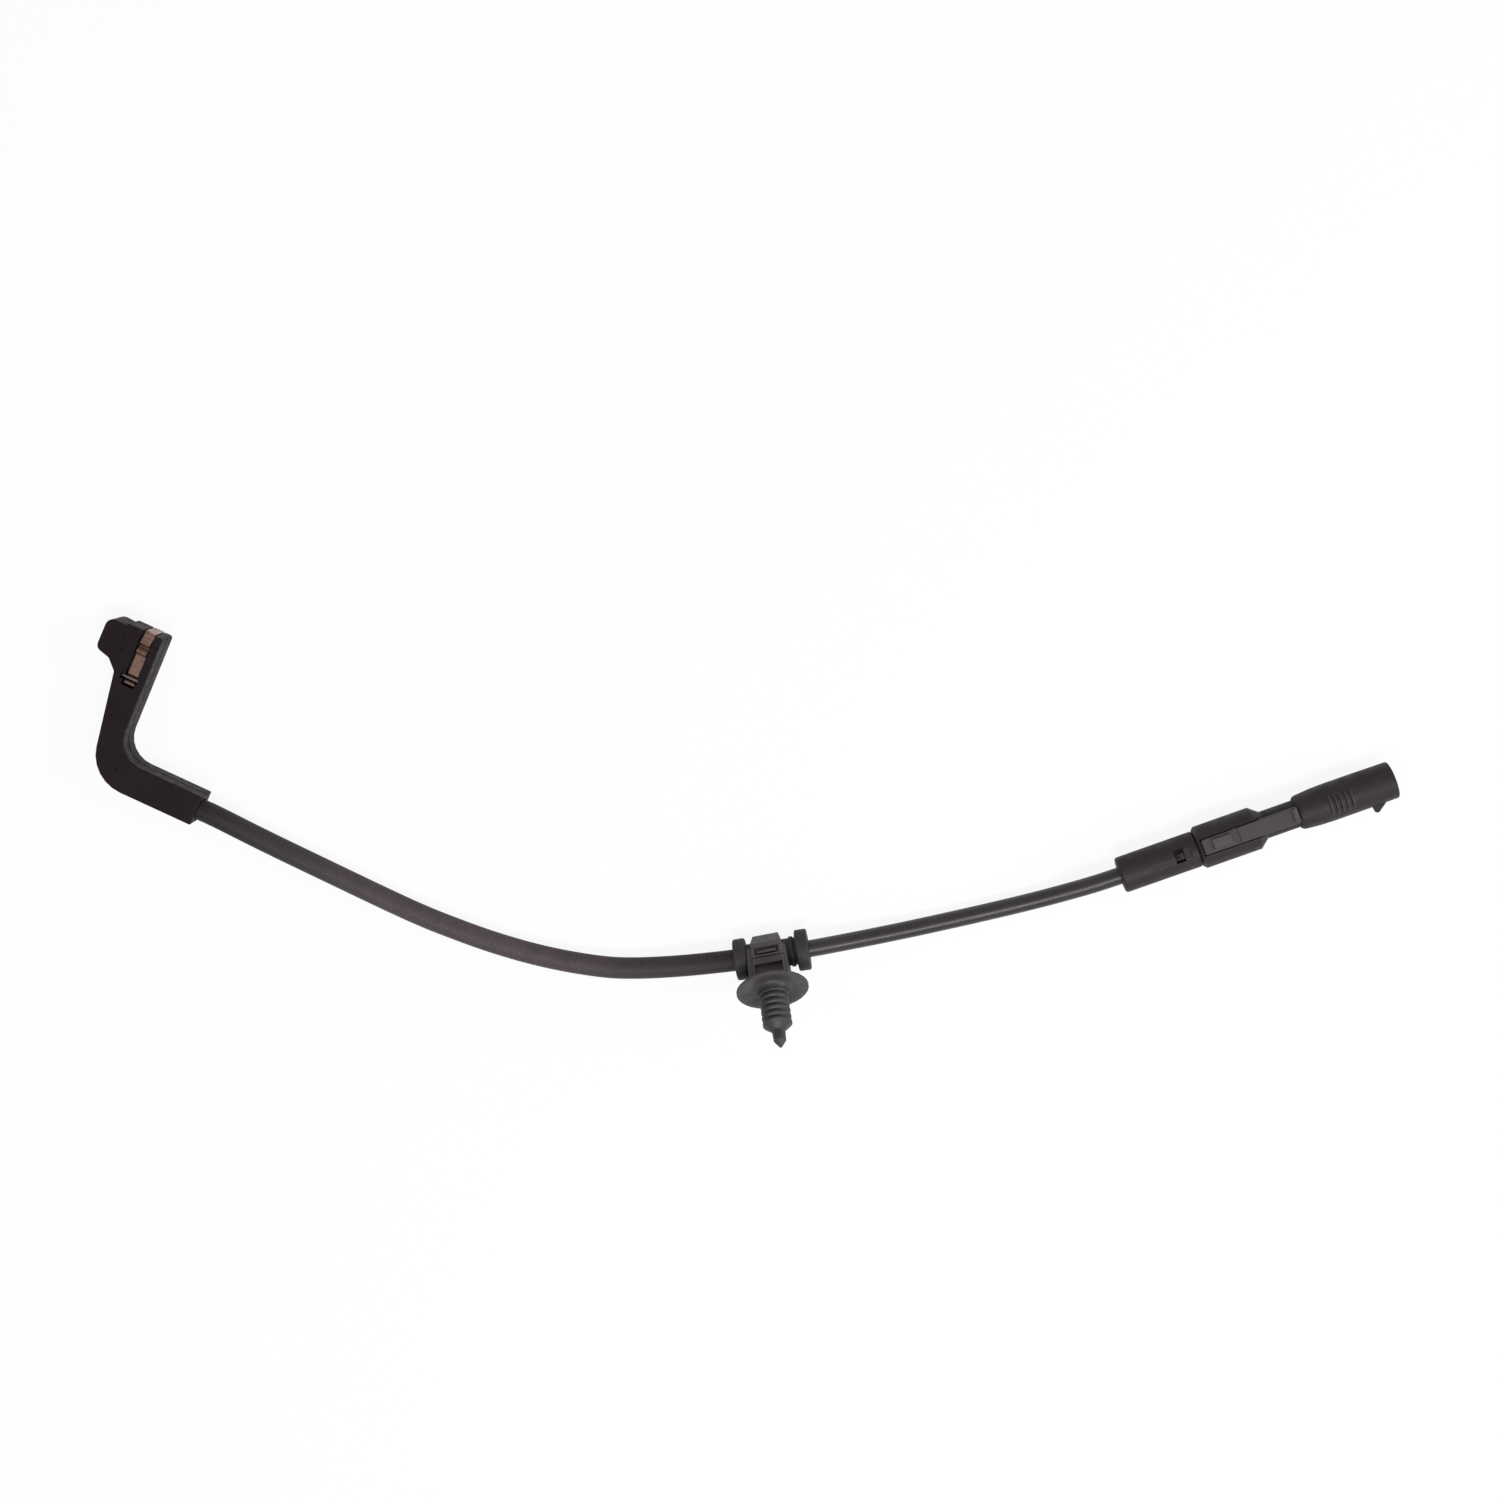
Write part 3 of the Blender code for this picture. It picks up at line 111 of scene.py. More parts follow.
ROUTE = [
    in_head(0.0),
    in_head(0.006),
    Vector((-0.1497, 0.0167, 0.0040)),
    Vector((-0.1383, 0.0044, 0.0035)),
    Vector((-0.1152, -0.0197, 0.0035)),
    Vector((-0.1032, -0.0310, 0.0035)),
    Vector((-0.0909, -0.0413, 0.0035)),
    Vector((-0.0781, -0.0504, 0.0036)),
    Vector((-0.0647, -0.0581, 0.0040)),
    Vector((-0.0541, -0.0626, 0.0045)),
    Vector((-0.0394, -0.0669, 0.0055)),
    in_grommet(-GROMMET_REACH),
    in_grommet(0.0),
    in_grommet(GROMMET_REACH),
    Vector((0.0243, -0.0795, 0.0044)),
    Vector((0.0472, -0.0828, 0.0033)),
    Vector((0.0701, -0.0853, 0.0037)),
    Vector((0.0880, -0.0862, 0.0058)),
    in_plug(0.0),
]


def smooth_line(stops, spacing):
    """Evenly spaced points on a smooth curve through the stops."""
    ends = [2 * stops[0] - stops[1], *stops, 2 * stops[-1] - stops[-2]]
    fine = []
    for a, b, c, d in zip(ends, ends[1:], ends[2:], ends[3:]):
        for k in range(SPLINE_STEPS):
            t = k / SPLINE_STEPS
            fine.append(0.5 * (2 * b + (c - a) * t + (2 * a - 5 * b + 4 * c - d) * t * t
                               + (3 * b - a - 3 * c + d) * t ** 3))
    fine.append(stops[-1])
    lengths = [0.0]
    for a, b in zip(fine, fine[1:]):
        lengths.append(lengths[-1] + (b - a).length)
    count = max(2, round(lengths[-1] / spacing) + 1)
    points = []
    k = 0
    for i in range(count):
        want = lengths[-1] * i / (count - 1)
        while k < len(fine) - 2 and lengths[k + 1] < want:
            k += 1
        share = (want - lengths[k]) / (lengths[k + 1] - lengths[k])
        points.append(fine[k].lerp(fine[k + 1], min(share, 1.0)))
    return points


# Material nodes


def new_material(name):
    material = bpy.data.materials.new(name)
    material.use_nodes = True
    return material, material.node_tree, material.node_tree.nodes["Principled BSDF"]


def add(tree, kind, **inputs):
    node = tree.nodes.new(kind)
    for key, value in inputs.items():
        node.inputs[key.replace("_", " ")].default_value = value
    return node


def connect(tree, value, socket):
    """Links a socket, or sets the number or colour that it keeps."""
    if isinstance(value, bpy.types.NodeSocket):
        tree.links.new(value, socket)
    elif isinstance(value, (int, float)):
        socket.default_value = value
    else:
        socket.default_value = (*value, 1.0)


def noise(tree, place, scale, detail=3.0, roughness=0.55):
    node = add(tree, "ShaderNodeTexNoise", Scale=scale, Detail=detail, Roughness=roughness)
    tree.links.new(place, node.inputs["Vector"])
    return node.outputs["Fac"]


def spread(tree, value, low, high, start=0.3, end=0.7):
    """Turns a value between start and end into a number between low and high."""
    node = add(tree, "ShaderNodeMapRange", From_Min=start, From_Max=end, To_Min=low, To_Max=high)
    tree.links.new(value, node.inputs["Value"])
    return node.outputs["Result"]


def blend(tree, share, first, second, mode="MIX"):
    node = tree.nodes.new("ShaderNodeMix")
    node.data_type = "RGBA"
    node.blend_type = mode
    for index, value in ((0, share), (6, first), (7, second)):
        connect(tree, value, node.inputs[index])
    return node.outputs[2]


def reckon(tree, operation, first, second):
    node = tree.nodes.new("ShaderNodeMath")
    node.operation = operation
    connect(tree, first, node.inputs[0])
    connect(tree, second, node.inputs[1])
    return node.outputs[0]


def reckon_vector(tree, operation, value, constant, output="Vector"):
    node = tree.nodes.new("ShaderNodeVectorMath")
    node.operation = operation
    node.inputs[1].default_value = constant
    tree.links.new(value, node.inputs[0])
    return node.outputs[output]


def split_axes(tree, place):
    node = tree.nodes.new("ShaderNodeSeparateXYZ")
    tree.links.new(place, node.inputs[0])
    return node.outputs


def bump(tree, height, strength, distance, normal=None):
    node = add(tree, "ShaderNodeBump", Strength=strength, Distance=distance)
    tree.links.new(height, node.inputs["Height"])
    if normal:
        tree.links.new(normal, node.inputs["Normal"])
    return node.outputs["Normal"]


def soft_edges(tree, radius):
    node = add(tree, "ShaderNodeBevel", Radius=radius)
    node.samples = 6
    return node.outputs["Normal"]


def object_place(tree):
    return tree.nodes.new("ShaderNodeTexCoord").outputs["Object"]


def mix_shaders(tree, share, first, second, out):
    node = tree.nodes.new("ShaderNodeMixShader")
    for socket, value in zip(node.inputs, (share, first.outputs[0], second.outputs[0])):
        tree.links.new(value, socket)
    tree.links.new(node.outputs[0], out.inputs["Surface"])


# Materials


def moulded_plastic(name, colour, pale, roughness, grain, level=0.5, edge=0.00018):
    """Moulded plastic: tool grain, clouded colour, dark specks, uneven gloss, softened edges."""
    material, tree, shader = new_material(name)
    place = object_place(tree)
    clouds = noise(tree, place, scale=140.0, detail=4.0)
    specks = noise(tree, place, scale=2600.0, detail=2.0, roughness=0.7)
    clouded = blend(tree, spread(tree, clouds, 0.0, 0.55, start=0.35), colour, pale)
    speckled = blend(tree, spread(tree, specks, 0.0, 0.5, start=0.5, end=0.75), clouded,
                     tuple(c * 0.72 for c in colour))
    tree.links.new(speckled, shader.inputs["Base Color"])
    gloss = spread(tree, noise(tree, place, scale=420.0), roughness - 0.08, roughness + 0.12)
    tree.links.new(gloss, shader.inputs["Roughness"])
    shader.inputs["Specular IOR Level"].default_value = level
    fine = noise(tree, place, scale=5200.0, detail=2.0, roughness=0.6)
    grained = bump(tree, fine, grain, distance=0.00006, normal=soft_edges(tree, edge))
    waved = bump(tree, clouds, strength=0.12, distance=0.0004, normal=grained)
    tree.links.new(waved, shader.inputs["Normal"])
    return material


def rubber(name, colour, pale, roughness=0.62):
    """Matt rubber, or the like, with dusty patches."""
    material, tree, shader = new_material(name)
    place = object_place(tree)
    clouds = noise(tree, place, scale=260.0, detail=4.0)
    dusty = blend(tree, spread(tree, clouds, 0.0, 0.6), colour, pale)
    tree.links.new(dusty, shader.inputs["Base Color"])
    gloss = spread(tree, noise(tree, place, scale=700.0), roughness - 0.06, roughness + 0.12)
    tree.links.new(gloss, shader.inputs["Roughness"])
    shader.inputs["Specular IOR Level"].default_value = 0.4
    fine = noise(tree, place, scale=3800.0, roughness=0.6)
    grained = bump(tree, fine, strength=0.14, distance=0.00008, normal=soft_edges(tree, 0.0003))
    tree.links.new(grained, shader.inputs["Normal"])
    return material


def cable_jacket(name):
    """Extruded jacket: smooth and a little glossy, with handling dust and a faint waviness."""
    material, tree, shader = new_material(name)
    place = object_place(tree)
    dust = spread(tree, noise(tree, place, scale=90.0, detail=4.0), 0.0, 0.7)
    tree.links.new(blend(tree, dust, (0.024, 0.0195, 0.0205), (0.034, 0.028, 0.0295)),
                   shader.inputs["Base Color"])
    gloss = spread(tree, noise(tree, place, scale=160.0), 0.36, 0.42)
    tree.links.new(gloss, shader.inputs["Roughness"])
    shader.inputs["Specular IOR Level"].default_value = 0.5
    waved = bump(tree, noise(tree, place, scale=260.0), strength=0.03, distance=0.0001)
    tree.links.new(waved, shader.inputs["Normal"])
    return material


# The sleeve's paler stretch along X, a painted pool of light: where it starts and where it is at
# its full
PAINTED_LIGHT_FROM_HEAD = (-0.160, -0.118)
PAINTED_LIGHT_FROM_GROMMET = (-0.012, -0.085)


def braid(name):
    """Woven sleeve: matt filaments, with a painted pool of light along its middle stretch and
    painted highlights on the crowns of the weave.
    """
    material, tree, shader = new_material(name)
    place = object_place(tree)
    clouds = noise(tree, place, scale=60.0)
    threads = noise(tree, place, scale=1700.0, detail=2.0, roughness=0.7)
    along = split_axes(tree, place)["X"]
    # Painted light: the colour runs from dark at both ends to pale over the middle stretch.
    painted_light_band = reckon(tree, "MULTIPLY", spread(tree, along, 0.0, 1.0, *PAINTED_LIGHT_FROM_HEAD),
                    spread(tree, along, 0.0, 1.0, *PAINTED_LIGHT_FROM_GROMMET))
    base = blend(tree, painted_light_band, (0.0100, 0.0072, 0.0080), (0.088, 0.0670, 0.0720))
    cloudy = blend(tree, spread(tree, clouds, 0.0, 0.5), base, (0.028, 0.0225, 0.0237))
    # Painted highlight: the crowns of the weave are coloured paler.
    height = tree.nodes.new("ShaderNodeAttribute")
    height.attribute_name = "crown"
    crown_highlight = blend(tree, spread(tree, height.outputs["Fac"], 0.0, 0.22, end=1.0), cloudy,
                    (0.090, 0.080, 0.084))
    threaded = blend(tree, spread(tree, threads, 0.0, 0.35, start=0.4), crown_highlight,
                     (0.014, 0.0120, 0.0125))
    tree.links.new(threaded, shader.inputs["Base Color"])
    tree.links.new(spread(tree, threads, 0.52, 0.68), shader.inputs["Roughness"])
    shader.inputs["Specular IOR Level"].default_value = 0.28
    tree.links.new(bump(tree, threads, strength=0.12, distance=0.00006), shader.inputs["Normal"])
    return material


def metal(name, colour, dull, roughness, grain_scale, stretch):
    """Drawn metal with fine marks along one way and dull, oxidised patches."""
    material, tree, shader = new_material(name)
    place = object_place(tree)
    mapping = add(tree, "ShaderNodeMapping", Rotation=(0.0, 0.0, -HEAD_TURN), Scale=stretch)
    tree.links.new(place, mapping.inputs["Vector"])
    marks = noise(tree, mapping.outputs["Vector"], grain_scale, roughness=0.6)
    patches = noise(tree, place, scale=500.0, detail=4.0, roughness=0.6)
    dulled = blend(tree, spread(tree, patches, 0.0, 0.75, start=0.4, end=0.65), colour, dull)
    tree.links.new(dulled, shader.inputs["Base Color"])
    shader.inputs["Metallic"].default_value = 1.0
    tree.links.new(spread(tree, patches, roughness, roughness + 0.22), shader.inputs["Roughness"])
    marked = bump(tree, marks, strength=0.12, distance=0.00005, normal=soft_edges(tree, 0.0001))
    tree.links.new(marked, shader.inputs["Normal"])
    return material


MATERIALS = {
    "head_plastic": moulded_plastic(
        "head_plastic_look", (0.0110, 0.0056, 0.0070), (0.0175, 0.0100, 0.0120),
        roughness=0.52, grain=0.06, level=0.13),
    "clip_plastic": moulded_plastic(
        "clip_plastic_look", (0.040, 0.0345, 0.0400), (0.054, 0.047, 0.053),
        roughness=0.52, grain=0.10),
    "connector_plastic": moulded_plastic(
        "connector_plastic_look", (0.0215, 0.0160, 0.0172), (0.0300, 0.0232, 0.0248),
        roughness=0.54, grain=0.10, level=0.28),
    "lock_plastic": moulded_plastic(
        "lock_plastic_look", (0.034, 0.0265, 0.0335), (0.046, 0.0375, 0.0455),
        roughness=0.52, grain=0.10),
    # Painted highlight: a paler, glossier copy of the connector plastic for the grip ribs.
    "connector_plastic_painted_highlight": moulded_plastic(
        "connector_painted_highlight_look", (0.024, 0.0200, 0.0210), (0.038, 0.0330, 0.0345),
        roughness=0.46, grain=0.10, level=0.45),
    # Painted highlight: a paler copy of the lock plastic for its raised pad and lip.
    "lock_plastic_painted_highlight": moulded_plastic(
        "lock_painted_highlight_look", (0.046, 0.041, 0.047), (0.058, 0.052, 0.059),
        roughness=0.46, grain=0.14),
    "seal_rubber": rubber("seal_rubber_look", (0.021, 0.0185, 0.0190), (0.032, 0.0290, 0.0300)),
    "core_wire": rubber("core_wire_look", (0.12, 0.035, 0.025), (0.17, 0.05, 0.035),
                        roughness=0.4),
    "cable_jacket": cable_jacket("cable_jacket_look"),
    "sleeve_braid": braid("sleeve_braid_look"),
    "spring_bronze": metal("spring_bronze_look", (0.36, 0.225, 0.180), (0.15, 0.090, 0.072),
                           roughness=0.24, grain_scale=2400.0, stretch=(1.0, 0.12, 1.0)),
    "pin_steel": metal("pin_steel_look", (0.34, 0.29, 0.28), (0.20, 0.165, 0.16),
                       roughness=0.25, grain_scale=900.0, stretch=(0.15, 1.0, 1.0)),
    "contact_brass": metal("contact_brass_look", (0.72, 0.60, 0.34), (0.45, 0.36, 0.2),
                           roughness=0.25, grain_scale=3000.0, stretch=(0.15, 1.0, 1.0)),
}


def dress_nodes():
    """Every CAD node gets its finish, by the record's material slot."""
    for part in frame["record"]["subparts"]:
        node = NODES[part["node"]]
        node.data.materials.clear()
        node.data.materials.append(MATERIALS[part["material_slot"]])


# Lead


def make_cable():
    """The two-core cable, whole from inside the head to inside the connector."""
    line = smooth_line([in_head(-CABLE_IN_HEAD), *ROUTE, in_plug(CABLE_IN_PLUG)], CABLE_STEP)
    curve = bpy.data.curves.new("cable_look", "CURVE")
    curve.dimensions = "3D"
    curve.bevel_depth = CABLE_DIAMETER / 2
    curve.bevel_resolution = 8
    curve.use_fill_caps = True
    spline = curve.splines.new("POLY")
    spline.points.add(len(line) - 1)
    for point, place in zip(spline.points, line):
        point.co = (*place, 1.0)
    spline.use_smooth = True
    curve.materials.append(MATERIALS["cable_jacket"])
    cable = add_object("cable_look", curve)
    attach(cable, "root")
    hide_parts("cable")


# Weave of the sleeve
RIB_PITCH = 0.00092
RIB_DEPTH = 0.00009
ROWS_PER_RIB = 6
WARPS = 12
SLEEVE_SIDES = 48
WEFT_RELIEF = 0.36
WARP_RELIEF = 0.14


def make_sleeve():
    """The woven sleeve: a fine weft wound round the lead, over lengthwise warps."""
    last = ROUTE.index(in_grommet(0.0))
    stops = [in_head(-SLEEVE_IN_HEAD), *ROUTE[:last],
             in_grommet(SLEEVE_IN_GROMMET - GROMMET_REACH)]
    line = smooth_line(stops, RIB_PITCH / ROWS_PER_RIB)
    rows = len(line)
    verts, crowns = [], []
    side = None
    travelled = 0.0
    for i, point in enumerate(line):
        way = (line[min(i + 1, rows - 1)] - line[max(i - 1, 0)]).normalized()
        side = way.orthogonal() if side is None else side - way * side.dot(way)
        side.normalize()
        other = way.cross(side)
        if i:
            travelled += (point - line[i - 1]).length
        phase = 2 * math.pi * travelled / RIB_PITCH
        for k in range(SLEEVE_SIDES):
            angle = 2 * math.pi * k / SLEEVE_SIDES
            weft = math.cos(phase + angle)
            warp = math.cos(WARPS * angle) * math.cos(phase / 2)
            crown = 0.5 + WEFT_RELIEF * weft + WARP_RELIEF * warp
            crowns.append(crown)
            radius = SLEEVE_DIAMETER / 2 - RIB_DEPTH * (1 - crown)
            verts.append(point + (side * math.cos(angle) + other * math.sin(angle)) * radius)
    faces = []
    for i in range(rows - 1):
        for k in range(SLEEVE_SIDES):
            j = (k + 1) % SLEEVE_SIDES
            a, b = i * SLEEVE_SIDES, (i + 1) * SLEEVE_SIDES
            faces.append((a + k, a + j, b + j, b + k))
    faces.append(tuple(range(SLEEVE_SIDES))[::-1])
    faces.append(tuple((rows - 1) * SLEEVE_SIDES + k for k in range(SLEEVE_SIDES)))
    mesh = bpy.data.meshes.new("braided_sleeve_look")
    mesh.from_pydata([tuple(v) for v in verts], [], faces)
    mesh.shade_smooth()
    layer = mesh.attributes.new("crown", "FLOAT", "POINT")
    layer.data.foreach_set("value", crowns)
    mesh.materials.append(MATERIALS["sleeve_braid"])
    sleeve = add_object("braided_sleeve_look", mesh)
    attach(sleeve, "root")
    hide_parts("braided_sleeve")


# Forms that are finer than the solids, in the clip's and the connector's own frames

CLIP_SLIDE = -0.0014
CLIP_SWING = math.radians(2.0)
STUD_LEAN = math.radians(46.0)
CLIP_FRAME = (Matrix.Translation(in_grommet(CLIP_SLIDE))
              @ Matrix.Rotation(GROMMET_TURN + CLIP_SWING, 4, "Z")
              @ Matrix.Rotation(STUD_LEAN, 4, "X"))
PLUG_ROLL = math.radians(-9.5)
PLUG_FRAME = Matrix.Translation(in_plug(0.0)) @ Matrix.Rotation(PLUG_ROLL, 4, "X")


def place_piece(name, verts, faces, slot, turn, bevel=0.0):
    """A closed mesh in a part's own frame, riding on the object: smooth, or flat and bevelled."""
    bm = bmesh.new()
    corners = [bm.verts.new(turn @ Vector(v)) for v in verts]
    for face in faces:
        bm.faces.new([corners[i] for i in face])
    bmesh.ops.recalc_face_normals(bm, faces=bm.faces)
    if bevel:
        bmesh.ops.bevel(bm, geom=list(bm.edges), offset=bevel, segments=3, affect="EDGES",
                        clamp_overlap=True)
    mesh = bpy.data.meshes.new(name)
    bm.to_mesh(mesh)
    bm.free()
    if not bevel:
        mesh.shade_smooth()
    mesh.materials.append(MATERIALS[slot])
    piece = add_object(name, mesh)
    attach(piece, "root")


def lathe(profile, steps):
    """Verts and faces of a ring: a closed profile of (along, radius) turned about Z."""
    verts, faces = [], []
    count = len(profile)
    for i in range(steps):
        angle = 2 * math.pi * i / steps
        verts.extend((r * math.cos(angle), r * math.sin(angle), s) for s, r in profile)
    for i in range(steps):
        for k in range(count):
            a, b = i * count, (i + 1) % steps * count
            j = (k + 1) % count
            faces.append((a + k, a + j, b + j, b + k))
    return verts, faces


# Hub of the clip's stud: (along the stud, radius)
HUB_FOOT = [(0.01185, 0.0036), (0.01185, 0.0066), (0.01206, 0.0066)]
HUB_TOP = [(0.01455, 0.00463), (0.0148, 0.0044), (0.0148, 0.0036)]
HUB_FILLET_CENTRE = (0.01415, 0.0064)
HUB_FILLET_SIZE = (0.00205, 0.00175)
HUB_FILLET_STEPS = 8
HUB_SIDES = 64


def make_stud_hub():
    """The smooth hub that blends the umbrella disc into its stud."""
    fillet = []
    for k in range(HUB_FILLET_STEPS + 1):
        angle = math.pi / 2 * k / HUB_FILLET_STEPS
        fillet.append((HUB_FILLET_CENTRE[0] - HUB_FILLET_SIZE[0] * math.cos(angle),
                       HUB_FILLET_CENTRE[1] - HUB_FILLET_SIZE[1] * math.sin(angle)))
    verts, faces = lathe(HUB_FOOT + fillet + HUB_TOP, HUB_SIDES)
    place_piece("clip_stud_hub", verts, faces, "clip_plastic", CLIP_FRAME)


# Painted light and shade on the clip: where each is at its full and where it ends, and how it
# changes the colour
PAINTED_LIGHT_REACH = (0.0090, 0.0112)  # along the stud
PAINTED_LIGHT_GAIN = (2.0, 2.0, 2.0)
PAINTED_SHADE_REACH = (0.0060, 0.0098)  # from the stud's axis
PAINTED_SHADE_FACTOR = (0.72, 0.72, 0.72)


def paint_clip_light_and_shade():
    """The clip's strap and cheeks are coloured paler (painted light), and the disc round the stud's
    root darker (painted shade).
    """
    tree = MATERIALS["clip_plastic"].node_tree
    base = tree.nodes["Principled BSDF"].inputs["Base Color"]
    colour = base.links[0].from_socket
    place = object_place(tree)
    axis = CLIP_FRAME.to_3x3() @ Vector((0.0, 0.0, 1.0))
    foot = CLIP_FRAME.translation.dot(axis)
    along = reckon_vector(tree, "DOT_PRODUCT", place, axis, "Value")
    # Painted light: up to this reach along the stud, the strap and cheeks are coloured twice as
    # pale.
    strap_painted_light = spread(tree, along, 1.0, 0.0, *(foot + reach for reach in PAINTED_LIGHT_REACH))
    offset = reckon_vector(tree, "SUBTRACT", place, CLIP_FRAME.translation)
    across = reckon_vector(tree, "CROSS_PRODUCT", offset, axis)
    distance = reckon_vector(tree, "LENGTH", across, (0.0, 0.0, 0.0), "Value")
    # Painted shade: near the stud's axis the disc is coloured darker.
    middle = spread(tree, distance, 1.0, 0.0, *PAINTED_SHADE_REACH)
    with_painted_light = blend(tree, strap_painted_light, colour, PAINTED_LIGHT_GAIN, "MULTIPLY")
    tree.links.new(blend(tree, middle, with_painted_light, PAINTED_SHADE_FACTOR, "MULTIPLY"), base)


# Raised places of the lock, from the connector's rear: start, end, half width, top
LOCK_RISES = {
    "lock_thumb_pad": (0.02935, 0.03535, 0.00160, 0.00712),
    "lock_front_lip": (0.05500, 0.05650, 0.00215, 0.00699),
}
LOCK_RISE_FOOT = 0.0064
LOCK_RISE_EDGE = 0.0002


def make_lock_rises():
    """The lock's raised thumb pad and front lip, in a paler copy of the plastic: a painted
    highlight.
    """
    faces = [(3, 2, 1, 0), (4, 5, 6, 7), (0, 1, 5, 4), (1, 2, 6, 5), (2, 3, 7, 6), (3, 0, 4, 7)]
    for name, (start, end, half, top) in LOCK_RISES.items():
        outline = ((start, -half), (end, -half), (end, half), (start, half))
        verts = [(x, y, z) for z in (LOCK_RISE_FOOT, top) for x, y in outline]
        place_piece(name, verts, faces, "lock_plastic_painted_highlight", PLUG_FRAME, bevel=LOCK_RISE_EDGE)


# Grip ribs of the plug shell
GRIP_RIB_COUNT = 5
GRIP_RIB_FIRST = 0.0669
GRIP_RIB_PITCH = 0.00168
GRIP_RIB_HALF_WIDTH = 0.00052
GRIP_RIB_TURN = -8.0  # degrees round the shell, from the top to the ribs' middle
GRIP_RIB_SWEEP = 32.0  # and from there to their ends
GRIP_RIB_ROOT = 0.0054  # radius, in the shell's wall
GRIP_RIB_FOOT = 0.00585
GRIP_RIB_DISH = 0.00015
GRIP_RIB_RISE = 0.00056
GRIP_RIB_STEPS = 20
GRIP_RIB_ACROSS = 8


def make_grip_ribs():
    """Crowned grip ribs across the plug shell, over the solid's plain ones, in a paler copy of the
    plastic: a painted highlight.
    """
    verts, faces = [], []
    row = GRIP_RIB_ACROSS + 2
    for rib in range(GRIP_RIB_COUNT):
        middle = GRIP_RIB_FIRST + GRIP_RIB_PITCH * rib
        first = len(verts)
        for i in range(GRIP_RIB_STEPS + 1):
            share = 2 * i / GRIP_RIB_STEPS - 1
            angle = math.radians(GRIP_RIB_TURN + GRIP_RIB_SWEEP * share)
            across, up = math.sin(angle), math.cos(angle)
            rise = GRIP_RIB_RISE * (1 - abs(share) ** 6)
            for k in range(GRIP_RIB_ACROSS + 1):
                side = 2 * k / GRIP_RIB_ACROSS - 1
                radius = (GRIP_RIB_FOOT + GRIP_RIB_DISH * (1 - abs(side))
                          + rise * math.cos(side * math.pi / 2) ** 0.7)
                verts.append((middle + side * GRIP_RIB_HALF_WIDTH, radius * across, radius * up))
            verts.append((middle, GRIP_RIB_ROOT * across, GRIP_RIB_ROOT * up))
        for i in range(GRIP_RIB_STEPS):
            for k in range(row):
                j = (k + 1) % row
                a, b = first + i * row, first + (i + 1) * row
                faces.append((a + k, a + j, b + j, b + k))
        faces.append(tuple(first + k for k in range(row))[::-1])
        faces.append(tuple(first + GRIP_RIB_STEPS * row + k for k in range(row)))
    place_piece("shell_grip_ribs", verts, faces, "connector_plastic_painted_highlight", PLUG_FRAME)


# Studio

FLOOR_HALF = 12.0
FLOOR_DROP = 0.00002  # below the surface that the object lies on
FLOOR_TO_LIGHT = (0.45, 0.45, 0.45)  # its colour to the rays that light the object
FLOOR_TO_VIEW = (0.88, 0.88, 0.88)
FLOOR_PLAIN_SHARE = 0.90  # of plain white, where it is seen
WHITE = (1.0, 1.0, 1.0, 1.0)
SKY_COLOUR = (1.0, 0.985, 0.98, 1.0)
SKY_LOW, SKY_HIGH = 0.55, 0.38  # strength at the horizon and overhead
LIGHTS = (
    # name, place, target, width, height, power
    ("key", (-0.06, -0.42, 1.05), (0.0, -0.02, 0.0), 0.9, 0.16, 8.0),
    ("side", (1.0, -0.35, 0.5), (0.0, 0.0, 0.0), 0.6, 0.5, 6.5),
)


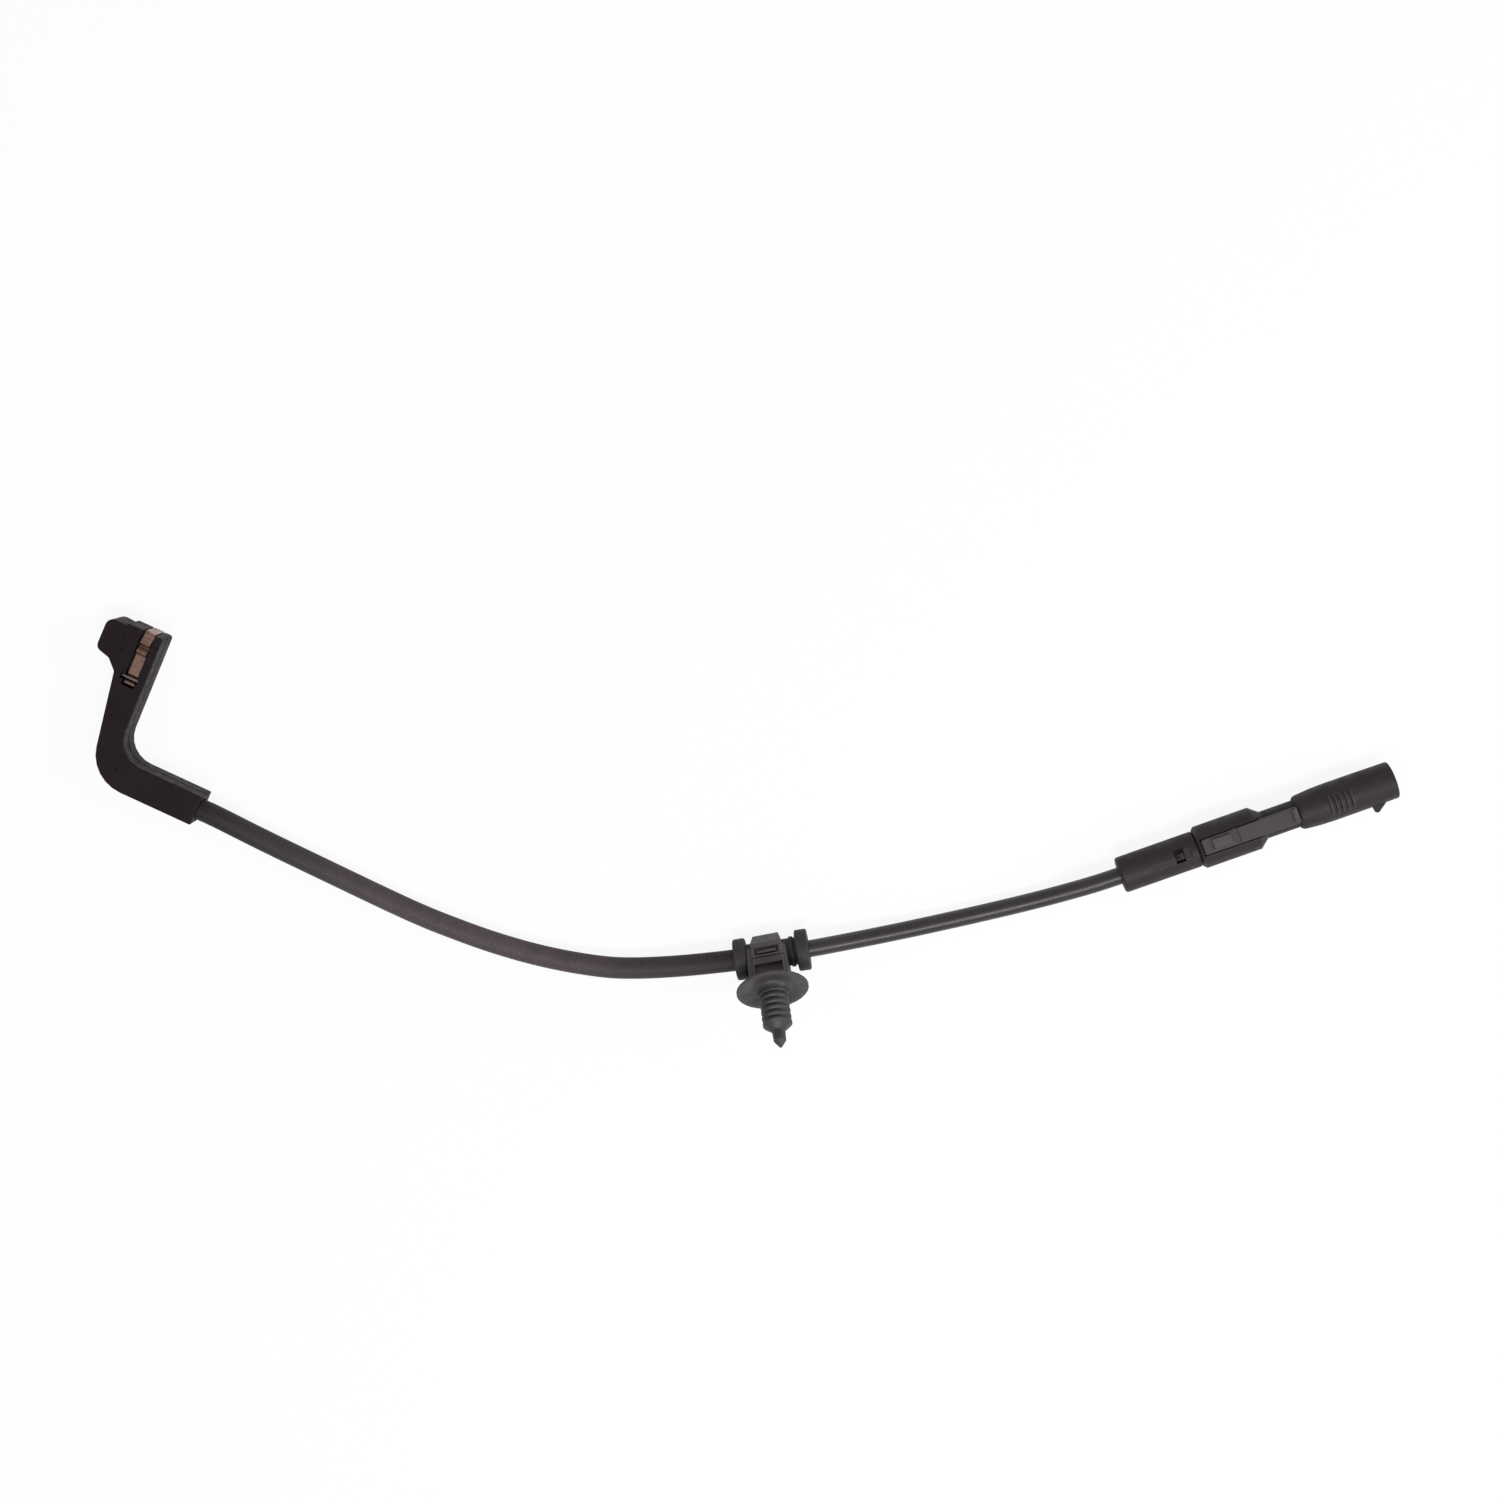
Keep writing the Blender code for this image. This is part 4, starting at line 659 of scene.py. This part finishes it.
def make_floor():
    """A white floor that keeps the shadow: plain white where it is seen, apart from a lit share."""
    mesh = bpy.data.meshes.new("floor")
    corners = [(-FLOOR_HALF, -FLOOR_HALF, 0), (FLOOR_HALF, -FLOOR_HALF, 0),
               (FLOOR_HALF, FLOOR_HALF, 0), (-FLOOR_HALF, FLOOR_HALF, 0)]
    mesh.from_pydata(corners, [], [(0, 1, 2, 3)])
    floor = add_object("floor", mesh)
    floor.location.z = -FLOOR_DROP
    material = bpy.data.materials.new("floor_white")
    material.use_nodes = True
    tree = material.node_tree
    tree.nodes.clear()
    out = tree.nodes.new("ShaderNodeOutputMaterial")
    lit = tree.nodes.new("ShaderNodeBsdfDiffuse")
    white = add(tree, "ShaderNodeEmission", Color=WHITE, Strength=1.0)
    rays = tree.nodes.new("ShaderNodeLightPath").outputs
    seen = reckon(tree, "MAXIMUM", rays["Is Camera Ray"], rays["Is Glossy Ray"])
    tree.links.new(blend(tree, seen, FLOOR_TO_LIGHT, FLOOR_TO_VIEW), lit.inputs["Color"])
    mix_shaders(tree, reckon(tree, "MULTIPLY", seen, FLOOR_PLAIN_SHARE), lit, white, out)
    mesh.materials.append(material)


def make_world():
    """Soft light from all round, weaker overhead, and plain white to the camera."""
    world = bpy.data.worlds.new("studio")
    bpy.context.scene.world = world
    world.use_nodes = True
    tree = world.node_tree
    tree.nodes.clear()
    out = tree.nodes.new("ShaderNodeOutputWorld")
    height = split_axes(tree, tree.nodes.new("ShaderNodeTexCoord").outputs["Generated"])["Z"]
    lit = add(tree, "ShaderNodeBackground", Color=SKY_COLOUR)
    tree.links.new(spread(tree, height, SKY_LOW, SKY_HIGH, start=0.1, end=0.9),
                   lit.inputs["Strength"])
    white = add(tree, "ShaderNodeBackground", Color=WHITE, Strength=1.0)
    rays = tree.nodes.new("ShaderNodeLightPath").outputs
    mix_shaders(tree, rays["Is Camera Ray"], lit, white, out)


def make_lights():
    for name, place, target, width, height, power in LIGHTS:
        data = bpy.data.lights.new(name, "AREA")
        data.shape = "RECTANGLE"
        data.size = width
        data.size_y = height
        data.energy = power
        light = add_object(name, data)
        back = (Vector(place) - Vector(target)).normalized()
        light.matrix_world = (Matrix.Translation(place)
                              @ back.to_track_quat("Z", "Y").to_matrix().to_4x4())


def main():
    make_camera()
    make_cable()
    make_sleeve()
    dress_nodes()
    paint_clip_light_and_shade()
    make_stud_hub()
    make_lock_rises()
    make_grip_ribs()
    make_floor()
    make_world()
    make_lights()
    bpy.context.scene.view_settings.view_transform = "Standard"


main()
